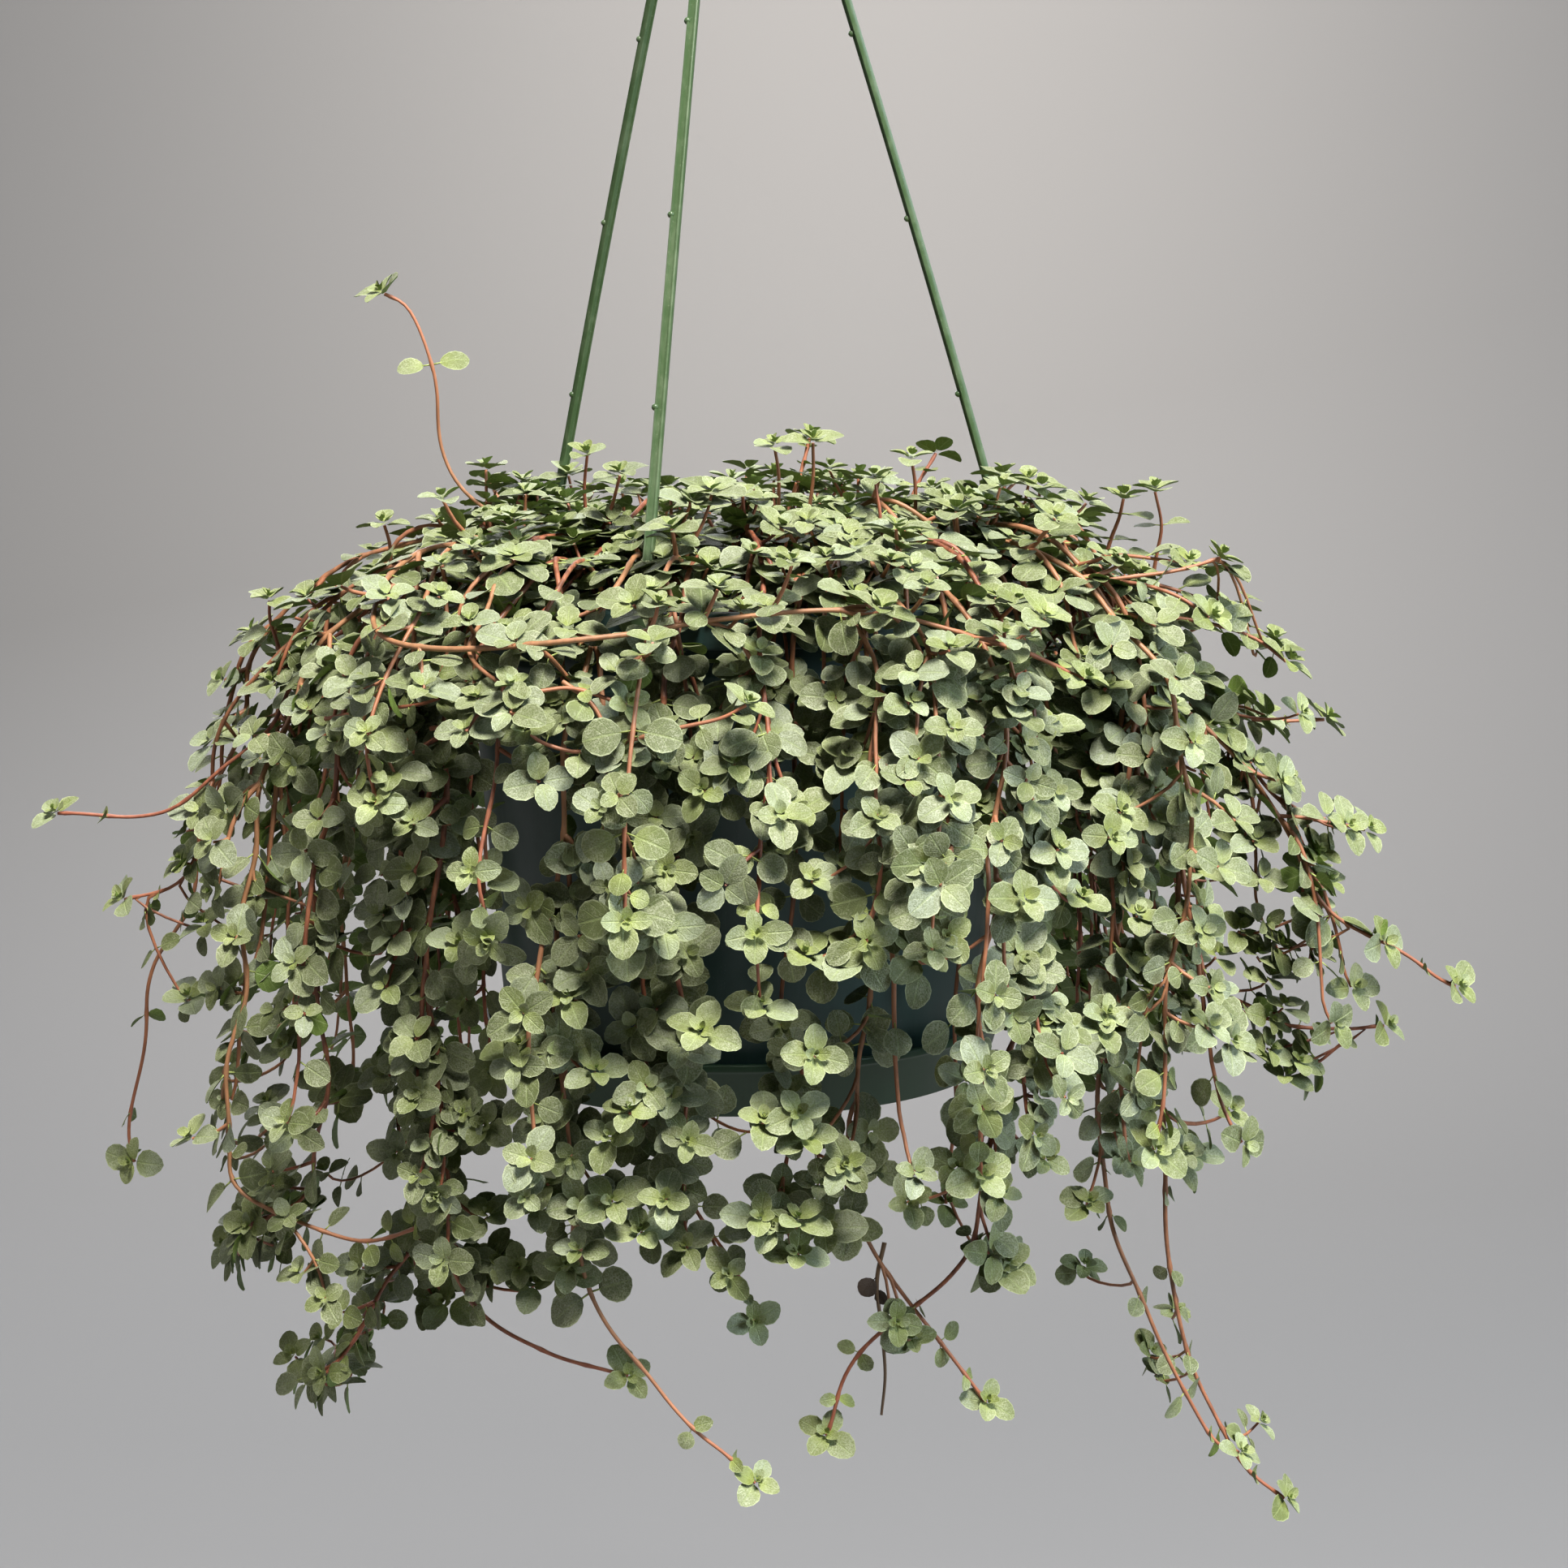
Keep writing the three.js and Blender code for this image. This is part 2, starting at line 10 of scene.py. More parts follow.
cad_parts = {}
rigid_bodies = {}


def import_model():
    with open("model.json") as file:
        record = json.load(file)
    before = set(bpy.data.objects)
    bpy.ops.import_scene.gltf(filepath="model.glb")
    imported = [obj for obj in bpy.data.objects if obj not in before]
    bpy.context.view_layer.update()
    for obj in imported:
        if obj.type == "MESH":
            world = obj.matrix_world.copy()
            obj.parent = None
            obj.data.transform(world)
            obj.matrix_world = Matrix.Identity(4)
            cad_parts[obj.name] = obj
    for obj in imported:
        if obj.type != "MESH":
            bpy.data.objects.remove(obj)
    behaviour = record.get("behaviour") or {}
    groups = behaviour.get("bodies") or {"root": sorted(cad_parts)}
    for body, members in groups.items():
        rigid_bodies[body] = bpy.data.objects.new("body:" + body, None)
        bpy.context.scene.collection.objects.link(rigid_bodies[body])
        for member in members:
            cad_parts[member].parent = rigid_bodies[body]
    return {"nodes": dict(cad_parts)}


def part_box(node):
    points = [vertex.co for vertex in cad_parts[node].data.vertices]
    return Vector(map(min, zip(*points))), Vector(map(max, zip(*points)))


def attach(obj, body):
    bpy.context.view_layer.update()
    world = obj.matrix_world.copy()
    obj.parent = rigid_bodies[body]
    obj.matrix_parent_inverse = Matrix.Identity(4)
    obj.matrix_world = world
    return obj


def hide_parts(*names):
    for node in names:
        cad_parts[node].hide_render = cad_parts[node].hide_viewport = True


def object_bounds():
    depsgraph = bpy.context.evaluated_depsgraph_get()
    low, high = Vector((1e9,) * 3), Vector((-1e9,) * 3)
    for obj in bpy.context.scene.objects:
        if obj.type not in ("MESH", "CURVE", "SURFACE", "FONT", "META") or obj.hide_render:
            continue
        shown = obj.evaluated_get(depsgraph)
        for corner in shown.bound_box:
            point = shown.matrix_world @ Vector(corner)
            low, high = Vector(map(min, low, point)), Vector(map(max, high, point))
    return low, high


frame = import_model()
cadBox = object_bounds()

print("frame loaded:", len(frame["nodes"]), "nodes")

mm = 0.001
potLow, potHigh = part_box("pot")
rimZ = potHigh[2] / mm                  # the rim's height below the hook, in mm
rimRadius = potHigh[0] / mm
saucerLow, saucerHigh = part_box("saucer")


# small helpers

def clamp(value, low=0.0, high=1.0):
    return max(low, min(high, value))


def mix(a, b, share):
    return a + (b - a) * share


def graded(first, last, steps):
    # even steps from the first value to the last
    return [mix(first, last, i / steps) for i in range(steps + 1)]


def onCircle(radius, azimuth, z=0.0):
    angle = math.radians(azimuth)
    return Vector((radius * math.cos(angle), radius * math.sin(angle), z))


def overRim(x, y, h):
    # a place, in mm, from its height over the rim
    return Vector((x, y, rimZ + h))


def heightOf(place):
    return place.z - rimZ


def placeObject(name, data):
    piece = bpy.data.objects.new(name, data)
    bpy.context.scene.collection.objects.link(piece)
    return piece


def meshFrom(name, points, faces):
    mesh = bpy.data.meshes.new(name)
    mesh.from_pydata([tuple(point) for point in points], [], faces)
    mesh.update()
    return mesh


def shadeSmooth(mesh, angle=40):
    mesh.polygons.foreach_set("use_smooth", [True] * len(mesh.polygons))
    mesh.set_sharp_from_angle(angle=math.radians(angle))


def bakeModifiers(piece, name):
    # the evaluated shape becomes a plain mesh, and the modifiers go
    graph = bpy.context.evaluated_depsgraph_get()
    mesh = bpy.data.meshes.new_from_object(piece.evaluated_get(graph), depsgraph=graph)
    mesh.name = name
    piece.modifiers.clear()
    piece.data = mesh
    return piece


# camera

cameraSetup = {
    "distance": 0.880,
    "pitchDown": 8.6,         # degrees
    "roll": 0.52,             # degrees, the picture's right side a little up
    "focalPixels": 4000.0,
    "framePixels": 1932.0,
    "sensorWidth": 36.0,
    "sideways": 0.01166,      # the camera stands a little right of the pot's axis
    "aimBelowRim": 0.054,
}


def addCamera(s):
    aim = Vector((s["sideways"], 0.0, rimZ * mm - s["aimBelowRim"]))
    pitch = math.radians(s["pitchDown"])
    roll = math.radians(s["roll"])
    back = Vector((0.0, -math.cos(pitch), math.sin(pitch)))
    right = Vector((1.0, 0.0, 0.0))
    up = back.cross(right)
    turnedRight = right * math.cos(roll) - up * math.sin(roll)
    turnedUp = right * math.sin(roll) + up * math.cos(roll)
    data = bpy.data.cameras.new("camera")
    data.sensor_width = s["sensorWidth"]
    data.lens = s["sensorWidth"] * s["focalPixels"] / s["framePixels"]
    camera = placeObject("camera", data)
    turn = Matrix((turnedRight, turnedUp, back)).transposed().to_4x4()
    camera.matrix_world = Matrix.Translation(aim + back * s["distance"]) @ turn
    bpy.context.scene.camera = camera
    return camera.matrix_world.inverted()


fromCamera = addCamera(cameraSetup)


def seenAt(place):
    # where a place, in mm, stands in the picture, in its pixels
    local = fromCamera @ (Vector(place) * mm)
    scale = cameraSetup["focalPixels"] / -local.z
    half = cameraSetup["framePixels"] / 2
    return half + local.x * scale, half - local.y * scale


print("camera placed")


# shader node groups

def newGroup(name, inputs, outputs):
    group = bpy.data.node_groups.new(name, "ShaderNodeTree")
    for label, kind, value in inputs:
        socket = group.interface.new_socket(label, in_out="INPUT", socket_type=kind)
        socket.default_value = value
    for label, kind in outputs:
        group.interface.new_socket(label, in_out="OUTPUT", socket_type=kind)
    start = group.nodes.new("NodeGroupInput")
    end = group.nodes.new("NodeGroupOutput")
    return group, start, end


def addNode(tree, kind, settings=None, values=None):
    node = tree.nodes.new(kind)
    for key, value in (settings or {}).items():
        setattr(node, key, value)
    for key, value in (values or {}).items():
        node.inputs[key].default_value = value
    return node


def connect(tree, *links):
    # each link holds a node, its output, the next node and its input
    for source, output, target, socket in links:
        tree.links.new(source.outputs[output], target.inputs[socket])


def addMath(tree, operation, a, b=None, clampIt=False):
    node = addNode(tree, "ShaderNodeMath", {"operation": operation, "use_clamp": clampIt})
    for slot, value in enumerate((a, b)):
        if value is None:
            continue
        if isinstance(value, (int, float)):
            node.inputs[slot].default_value = value
        else:
            tree.links.new(value, node.inputs[slot])
    return node.outputs[0]


def addRange(tree, value, low, high, toLow=0.0, toHigh=1.0):
    node = addNode(tree, "ShaderNodeMapRange", {"interpolation_type": "SMOOTHSTEP"},
                   {"From Min": low, "From Max": high, "To Min": toLow, "To Max": toHigh})
    tree.links.new(value, node.inputs["Value"])
    return node.outputs["Result"]


def addMix(tree, share, a, b):
    # the slots are those of a colour mix
    node = addNode(tree, "ShaderNodeMix", {"data_type": "RGBA"})
    for slot, value in ((0, share), (6, a), (7, b)):
        if isinstance(value, (tuple, list, int, float)):
            node.inputs[slot].default_value = value
        else:
            tree.links.new(value, node.inputs[slot])
    return node.outputs[2]


def addNoise(tree, vector, scale, detail=3.0, roughness=0.55):
    node = addNode(tree, "ShaderNodeTexNoise", None,
                   {"Scale": scale, "Detail": detail, "Roughness": roughness})
    tree.links.new(vector, node.inputs["Vector"])
    return node.outputs["Fac"]


def times(tree, a, b):
    return addMath(tree, "MULTIPLY", a, b)


def plus(tree, a, b, clampIt=False):
    return addMath(tree, "ADD", a, b, clampIt)


def minus(tree, a, b):
    return addMath(tree, "SUBTRACT", a, b)


skinOutputs = [("Color", "NodeSocketColor"), ("Roughness", "NodeSocketFloat"), ("Height", "NodeSocketFloat")]


def endGroup(group, end, *values):
    for (label, kind), value in zip(skinOutputs, values):
        group.links.new(value, end.inputs[label])
    return group


# a leaf's colours: the inputs of its skin, and the marks on it
leafColors = {
    "Olive": (0.088, 0.108, 0.036, 1),
    "Silver": (0.300, 0.320, 0.212, 1),
    "Young Green": (0.370, 0.450, 0.085, 1),
    "Under Green": (0.105, 0.170, 0.026, 1),
}

leafMarks = {
    "coolSilver": (0.265, 0.315, 0.250, 1),
    "vein": (0.30, 0.37, 0.15, 1),
    "margin": (0.46, 0.51, 0.31, 1),
    "underSpeckle": (0.26, 0.34, 0.11, 1),
    "underVein": (0.31, 0.39, 0.15, 1),
    "stalk": (0.30, 0.36, 0.10, 1),
    "dry": (0.045, 0.028, 0.018, 1),
}


def makeLeafSkinGroup(marks):
    # crystalline speckle, veins, margin and ageing of a pilea leaf
    group, start, end = newGroup("leafSkin", [
        ("Position", "NodeSocketVector", (0, 0, 0)),
        ("Leaf UV", "NodeSocketVector", (0, 0, 0)),
        ("Youth", "NodeSocketFloat", 0.0),
        ("Tone", "NodeSocketFloat", 0.5),
        *[(label, "NodeSocketColor", color) for label, color in leafColors.items()],
        ("Speckle Scale", "NodeSocketFloat", 2600.0),
    ], skinOutputs)
    tone = start.outputs["Tone"]
    parts = addNode(group, "ShaderNodeSeparateXYZ")
    u, v = parts.outputs[0], parts.outputs[1]

    # the underside's u is shifted by 2; aside is 0 on the midrib and 1 on the margin
    under = addMath(group, "GREATER_THAN", u, 1.5)
    across = minus(group, times(group, minus(group, u, times(group, under, 2.0)), 2.0), 1.0)
    aside = addMath(group, "ABSOLUTE", across)
    midrib = addRange(group, aside, 0.02, 0.11, 1.0, 0.0)
    veinPhase = addMath(group, "FRACT", times(group, minus(group, v, times(group, aside, 0.42)), 3.4))
    fromVein = addMath(group, "ABSOLUTE", minus(group, veinPhase, 0.5))
    sideVeins = times(group, addRange(group, fromVein, 0.03, 0.1, 1.0, 0.0), 0.45)
    veins = addMath(group, "MAXIMUM", midrib, sideVeins)
    margin = addRange(group, aside, 0.86, 0.99)
    stalk = addRange(group, v, -0.05, 0.02, 1.0, 0.0)

    # fine silver grains, thinner in some patches, and more of them on a leaf of a high tone
    fine = addNode(group, "ShaderNodeTexNoise", None, {"Detail": 2.5, "Roughness": 0.7})
    connect(group, (start, "Leaf UV", parts, 0), (start, "Position", fine, "Vector"),
            (start, "Speckle Scale", fine, "Scale"))
    speckle = addRange(group, fine.outputs["Fac"], 0.32, 0.68)
    patches = addRange(group, addNoise(group, start.outputs["Position"], 420.0, 2.0), 0.30, 0.72)
    grains = times(group, speckle, plus(group, times(group, patches, 0.55), 0.38))
    silverShare = plus(group, grains, times(group, minus(group, tone, 0.5), 0.70), True)
    silver = addMix(group, addRange(group, tone, 0.55, 0.95, 0.0, 0.6),
                    start.outputs["Silver"], marks["coolSilver"])

    top = addMix(group, silverShare, start.outputs["Olive"], silver)
    top = addMix(group, times(group, veins, 0.28), top, marks["vein"])
    top = addMix(group, times(group, margin, 0.45), top, marks["margin"])
    heart = addRange(group, v, 0.0, 0.7, 1.0, 0.0)
    youngShare = times(group, start.outputs["Youth"], plus(group, times(group, heart, 0.40), 0.25))
    top = addMix(group, youngShare, top, start.outputs["Young Green"])
    below = addMix(group, times(group, speckle, 0.25), start.outputs["Under Green"], marks["underSpeckle"])
    below = addMix(group, times(group, veins, 0.5), below, marks["underVein"])
    color = addMix(group, stalk, addMix(group, under, top, below), marks["stalk"])
    rough = minus(group, 0.62, times(group, grains, 0.14))
    groove = times(group, times(group, veins, minus(group, 1.0, stalk)), -0.8)
    return endGroup(group, end, color, rough, plus(group, times(group, speckle, 0.35), groove))


def makePlasticGroup():
    # moulded plastic that has stood in a greenhouse: faint cloudiness, water marks and fine scuffs
    group, start, end = newGroup("mouldedPlastic", [
        ("Position", "NodeSocketVector", (0, 0, 0)),
        ("Plastic", "NodeSocketColor", (0.05, 0.1, 0.05, 1)),
        ("Dust", "NodeSocketColor", (0.2, 0.22, 0.18, 1)),
        ("Dust Amount", "NodeSocketFloat", 0.3),
        ("Scale", "NodeSocketFloat", 60.0),
        ("Gloss", "NodeSocketFloat", 0.4),
    ], skinOutputs)
    cloud = addNode(group, "ShaderNodeTexNoise", None, {"Detail": 4.0, "Roughness": 0.6})
    drawnDown = addNode(group, "ShaderNodeMapping", None, {"Scale": (1.0, 1.0, 0.12)})
    connect(group, (start, "Position", cloud, "Vector"), (start, "Scale", cloud, "Scale"),
            (start, "Position", drawnDown, "Vector"))
    runs = addNoise(group, drawnDown.outputs["Vector"], 420.0, 2.0)
    specks = addRange(group, addNoise(group, start.outputs["Position"], 1900.0, 2.0), 0.66, 0.72)
    amount = start.outputs["Dust Amount"]
    cloudy = times(group, addRange(group, cloud.outputs["Fac"], 0.42, 0.7), 0.5)
    marked = times(group, addRange(group, runs, 0.5, 0.75), 0.35)
    dusty = plus(group, times(group, plus(group, cloudy, marked), amount),
                 times(group, specks, times(group, amount, 0.8)), True)
    color = addMix(group, dusty, start.outputs["Plastic"], start.outputs["Dust"])
    rough = plus(group, start.outputs["Gloss"], times(group, dusty, 0.5))
    return endGroup(group, end, color, rough, plus(group, times(group, runs, 0.4), times(group, specks, 0.6)))


leafSkin = makeLeafSkinGroup(leafMarks)
mouldedPlastic = makePlasticGroup()


def newMaterial(name):
    material = bpy.data.materials.new(name)
    material.use_nodes = True
    tree = material.node_tree
    tree.nodes.clear()
    output = tree.nodes.new("ShaderNodeOutputMaterial")
    shader = tree.nodes.new("ShaderNodeBsdfPrincipled")
    tree.links.new(shader.outputs[0], output.inputs["Surface"])
    return material, tree, shader


def objectPosition(tree):
    return addNode(tree, "ShaderNodeTexCoord").outputs["Object"]


def addBump(tree, height, shader, distance, strength=1.0):
    bump = addNode(tree, "ShaderNodeBump", None, {"Strength": strength, "Distance": distance})
    tree.links.new(height, bump.inputs["Height"])
    tree.links.new(bump.outputs[0], shader.inputs["Normal"])


def addAttribute(tree, name):
    return addNode(tree, "ShaderNodeAttribute", {"attribute_name": name}).outputs["Fac"]


def addSkin(tree, shader, group, values, distance, strength):
    # a skin group in the object's own space, with its roughness and height wired to the shader
    skin = addNode(tree, "ShaderNodeGroup", {"node_tree": group}, values)
    tree.links.new(objectPosition(tree), skin.inputs["Position"])
    tree.links.new(skin.outputs["Roughness"], shader.inputs["Roughness"])
    addBump(tree, skin.outputs["Height"], shader, distance, strength)
    return skin


def makeLeafMaterial():
    material, tree, shader = newMaterial("pileaLeaf")
    skin = addSkin(tree, shader, leafSkin, leafColors, 0.0002, 0.6)
    uv = addNode(tree, "ShaderNodeUVMap", {"uv_map": "leafUv"})
    tree.links.new(uv.outputs[0], skin.inputs["Leaf UV"])
    tree.links.new(addAttribute(tree, "youth"), skin.inputs["Youth"])
    tree.links.new(addAttribute(tree, "tone"), skin.inputs["Tone"])
    color = addMix(tree, addAttribute(tree, "dry"), skin.outputs["Color"], leafMarks["dry"])
    tree.links.new(color, shader.inputs["Base Color"])
    shader.inputs["Specular IOR Level"].default_value = 0.45
    return material


stemColors = {
    "dark": (0.095, 0.024, 0.013, 1),
    "red": (0.280, 0.095, 0.044, 1),
    "tan": (0.430, 0.235, 0.110, 1),
    "young": (0.420, 0.130, 0.070, 1),
    "dry": (0.14, 0.085, 0.045, 1),
}


def makeStemMaterial(colors):
    material, tree, shader = newMaterial("pileaStem")
    streak = addNode(tree, "ShaderNodeMapping", None, {"Scale": (1.0, 1.0, 0.35)})
    tree.links.new(objectPosition(tree), streak.inputs["Vector"])
    mottling = addNoise(tree, streak.outputs["Vector"], 520.0, 3.0)
    color = addMix(tree, addRange(tree, mottling, 0.35, 0.68), colors["dark"], colors["red"])
    color = addMix(tree, times(tree, addAttribute(tree, "tone"), 0.55), color, colors["tan"])
    color = addMix(tree, times(tree, addAttribute(tree, "youth"), 0.6), color, colors["young"])
    color = addMix(tree, addAttribute(tree, "dry"), color, colors["dry"])
    tree.links.new(color, shader.inputs["Base Color"])
    tree.links.new(plus(tree, times(tree, mottling, 0.25), 0.38), shader.inputs["Roughness"])
    addBump(tree, mottling, shader, 0.00025, 0.5)
    return material


plasticFinishes = {
    "potPlastic": {"Plastic": (0.027, 0.060, 0.054, 1), "Dust": (0.08, 0.12, 0.11, 1), "Dust Amount": 0.35,
                   "Scale": 55.0, "Gloss": 0.34},
    "saucerPlastic": {"Plastic": (0.018, 0.052, 0.024, 1), "Dust": (0.07, 0.11, 0.07, 1), "Dust Amount": 0.30,
                      "Scale": 70.0, "Gloss": 0.46},
    "strandPlastic": {"Plastic": (0.048, 0.088, 0.034, 1), "Dust": (0.20, 0.25, 0.15, 1), "Dust Amount": 0.40,
                      "Scale": 140.0, "Gloss": 0.34},
}


def makePlasticMaterial(name):
    material, tree, shader = newMaterial(name)
    skin = addSkin(tree, shader, mouldedPlastic, plasticFinishes[name], 0.0001, 0.4)
    tree.links.new(skin.outputs["Color"], shader.inputs["Base Color"])
    return material


peatColors = {
    "wet": (0.012, 0.007, 0.004, 1),
    "crumb": (0.085, 0.050, 0.027, 1),
}


def makePeatMaterial(colors):
    material, tree, shader = newMaterial("dampPeat")
    position = objectPosition(tree)
    crumbs = addNoise(tree, position, 700.0, 5.0, 0.7)
    fibres = addNode(tree, "ShaderNodeTexVoronoi", None, {"Scale": 420.0})
    tree.links.new(position, fibres.inputs["Vector"])
    color = addMix(tree, addRange(tree, crumbs, 0.3, 0.7), colors["wet"], colors["crumb"])
    tree.links.new(color, shader.inputs["Base Color"])
    tree.links.new(plus(tree, times(tree, crumbs, 0.3), 0.68), shader.inputs["Roughness"])
    addBump(tree, plus(tree, crumbs, times(tree, fibres.outputs["Distance"], 0.6)), shader, 0.001, 0.8)
    return material


leafMaterial = makeLeafMaterial()
stemMaterial = makeStemMaterial(stemColors)
potPlastic, saucerPlastic, strandPlastic = [makePlasticMaterial(name) for name in plasticFinishes]
peatMaterial = makePeatMaterial(peatColors)
print("materials made")


# pot, saucer and soil: turned shapes

def turnedMesh(name, outline, around, closed):
    # outline holds (radius, height below or above the rim), in mm, run so that the faces point out
    points = []
    faces = []
    rings = []
    for radius, h in outline:
        if radius < 1e-6:
            rings.append([len(points)])
            points.append(Vector((0, 0, (rimZ + h) * mm)))
            continue
        ring = []
        for i in range(around):
            ring.append(len(points))
            points.append(onCircle(radius * mm, i * 360 / around, (rimZ + h) * mm))
        rings.append(ring)
    pairs = list(zip(rings, rings[1:]))
    if closed:
        pairs.append((rings[-1], rings[0]))
    for low, high in pairs:
        for i in range(around):
            j = (i + 1) % around
            face = []
            for index in (low[i % len(low)], low[j % len(low)], high[j % len(high)], high[i % len(high)]):
                if index not in face:
                    face.append(index)
            if len(face) > 2:
                faces.append(face)
    mesh = meshFrom(name, points, faces)
    work = bmesh.new()
    work.from_mesh(mesh)
    bmesh.ops.recalc_face_normals(work, faces=work.faces)
    work.to_mesh(mesh)
    work.free()
    return mesh


def roundOff(outline, radius, steps=4):
    # each marked corner becomes a short arc; a corner is marked by a third value of True
    rounded = []
    count = len(outline)
    for i, corner in enumerate(outline):
        here = Vector(corner[:2])
        if len(corner) < 3 or i in (0, count - 1):
            rounded.append(tuple(here))
            continue
        before = Vector(outline[i - 1][:2]) - here
        after = Vector(outline[(i + 1) % count][:2]) - here
        size = min(radius, before.length * 0.45, after.length * 0.45)
        start = here + before.normalized() * size
        stop = here + after.normalized() * size
        for k in range(steps + 1):
            t = k / steps
            rounded.append(tuple(start * (1 - t) ** 2 + here * 2 * t * (1 - t) + stop * t ** 2))
    return rounded


potShape = {
    "around": 108,
    "wallTop": 73.5,
    "taper": 0.072,
    "wall": 1.6,
    "floor": -124.6,
    "foot": 63.0,
    "footRise": 3.0,
    "buttonHead": 5.5,          # the snap button that holds the saucer
    "buttonNeck": 4.0,
    "buttonGap": 0.3,
    "skirt": 1.5,
    "skirtDrop": 9.0,
    "ringHeights": (-21.0, -16.0),      # two faint moulded rings on the wall
    "ringProfile": ((-0.05, -1.2), (0.35, -0.4, True), (0.35, 0.4, True), (-0.05, 1.2)),
    "corner": 0.6,
    "smooth": 35,
}


def buildPot(s):
    def wall(h):
        return s["wallTop"] + s["taper"] * h

    floor, skirt = s["floor"], s["skirt"]
    buttonTop = saucerLow[2] / mm - rimZ - s["buttonGap"]
    buttonBottom = potLow[2] / mm - rimZ
    outline = [(0, buttonBottom), (s["buttonHead"], buttonBottom, True), (s["buttonHead"], buttonTop, True),
               (s["buttonNeck"], buttonTop, True), (s["buttonNeck"], floor, True), (s["foot"], floor, True),
               (wall(floor) - 0.2, floor + s["footRise"], True)]
    for h in s["ringHeights"]:
        outline += [(wall(h) + rise, h + up, *mark) for rise, up, *mark in s["ringProfile"]]
    outline += [(wall(-skirt), -skirt, True), (rimRadius - skirt, -skirt, True),
                (rimRadius - skirt, -s["skirtDrop"], True), (rimRadius, -s["skirtDrop"], True),
                (rimRadius, 0, True), (wall(0) - s["wall"], 0, True),
                (wall(floor) - s["wall"], floor + s["wall"], True), (0, floor + s["wall"])]
    mesh = turnedMesh("pot", roundOff(outline, s["corner"]), s["around"], False)
    shadeSmooth(mesh, s["smooth"])
    mesh.materials.append(potPlastic)
    return placeObject("potBody", mesh)


saucerShape = {
    "around": 108,
    "base": 66.5,
    "wall": 1.4,
    "footRing": (4.0, 3.4, 1.6, 1.0),   # a shallow groove under the edge: how far in from the base's edge
    "footGroove": 0.5,
    "ribOuter": 58.0,
    "ribInner": 54.0,
    "ribTop": -124.9,
    "hole": 4.35,
    "corner": 0.7,
    "smooth": 35,
}


def buildSaucer(s):
    rim = saucerHigh[0] / mm
    top = saucerHigh[2] / mm - rimZ
    base = saucerLow[2] / mm - rimZ
    floorTop = base + s["wall"]
    outline = [(s["hole"], base)]
    outline += [(s["base"] - inset, base + rise, True)
                for inset, rise in zip(s["footRing"], (0, s["footGroove"], s["footGroove"], 0))]
    outline += [(s["base"], base, True), (mix(s["base"], rim, 0.82), mix(base, top, 0.82)),
                (rim - 0.5, top - 2.2, True), (rim, top - 1.8, True), (rim, top, True),
                (rim - s["wall"] - 0.3, top, True), (s["base"] - s["wall"] + 0.3, floorTop, True),
                (s["ribOuter"], floorTop, True), (s["ribOuter"], s["ribTop"], True),
                (s["ribInner"], s["ribTop"], True), (s["ribInner"], floorTop, True), (s["hole"], floorTop)]
    mesh = turnedMesh("saucer", roundOff(outline, s["corner"]), s["around"], True)
    shadeSmooth(mesh, s["smooth"])
    mesh.materials.append(saucerPlastic)
    return placeObject("dripSaucer", mesh)


soilShape = {
    "around": 96,
    "rings": 26,
    "lump": 1.3,
    "lumpScale": 45,
    "grain": 0.9,
    "grainScale": 330,
    "sink": 0.4,
    "smooth": 80,
}


def buildSoil(s):
    low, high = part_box("soil")
    radius = high[0] / mm
    topH = high[2] / mm - rimZ
    bottomH = low[2] / mm - rimZ
    outline = [(0, bottomH), (potShape["foot"] - 0.5, bottomH), (radius, topH)]
    outline += [(radius * (1 - ring / s["rings"]), topH) for ring in range(1, s["rings"])]
    outline.append((0, topH))
    mesh = turnedMesh("soil", outline, s["around"], False)
    for vertex in mesh.vertices:
        aside = math.hypot(vertex.co.x, vertex.co.y)
        if vertex.co.z < (rimZ + topH) * mm - 1e-4 or aside > (radius - 1) * mm:
            continue
        lump = s["lump"] * noise.noise(vertex.co * s["lumpScale"])
        grain = s["grain"] * noise.noise(vertex.co * s["grainScale"])
        vertex.co.z += (lump + grain - s["sink"]) * mm
    shadeSmooth(mesh, s["smooth"])
    mesh.materials.append(peatMaterial)
    return placeObject("peatFill", mesh)


potPiece = buildPot(potShape)
saucerPiece = buildSaucer(saucerShape)
soilPiece = buildSoil(soilShape)
for piece, node in ((potPiece, "pot"), (saucerPiece, "saucer"), (soilPiece, "soil")):
    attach(piece, "root")
    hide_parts(node)
print("pot, saucer and soil made")


# hanger: hook, hub, grooved strands with nubs, and feet that grip the rim

hangerShape = {
    "azimuths": (20.0, 134.0, -106.0),
    "hubZ": -46.0,
    "bow": 1.6,
    "bedded": 2.0,              # how far a strand runs into the hub and into its foot
    "footTop": 6.0,
    "footThickness": 2.2,
    "footWidth": 7.0,
    "footRound": (0.4, 0.18),   # how far in from the foot's side its edge starts, and by how much it shrinks
    "footLip": 1.4,
    "footLipTop": -4.0,
    "rimGap": 0.35,
    "skirtGap": 0.3,
    "lipGap": 0.6,
    "strandStart": 0.5,
    "strandWidth": 2.6,
    "strandDepth": 2.0,
    "groove": 0.35,
    "grooveWidth": 1.1,
    "nubHeights": (50.0, 97.0, 146.0, 195.0),
    "nubSide": 180.0,
    "nubOut": 1.25,
    "nubRadius": 0.95,
    "hookRadius": 10.0,
    "hookWire": 2.0,
    "hookTurns": (-35, 0, 45, 90, 135, 180, 218),
    "hookShank": ((-3.0, 13.5), (0.0, 20.0)),       # across, and down from the hook's middle
    "hub": ((2.6, 5.2), (3.2, 4.4), (3.4, 1.5), (4.7, -0.5), (5.0, -2.2), (4.6, -4.1), (3.2, -4.5)),
    "smooth": 38,
}


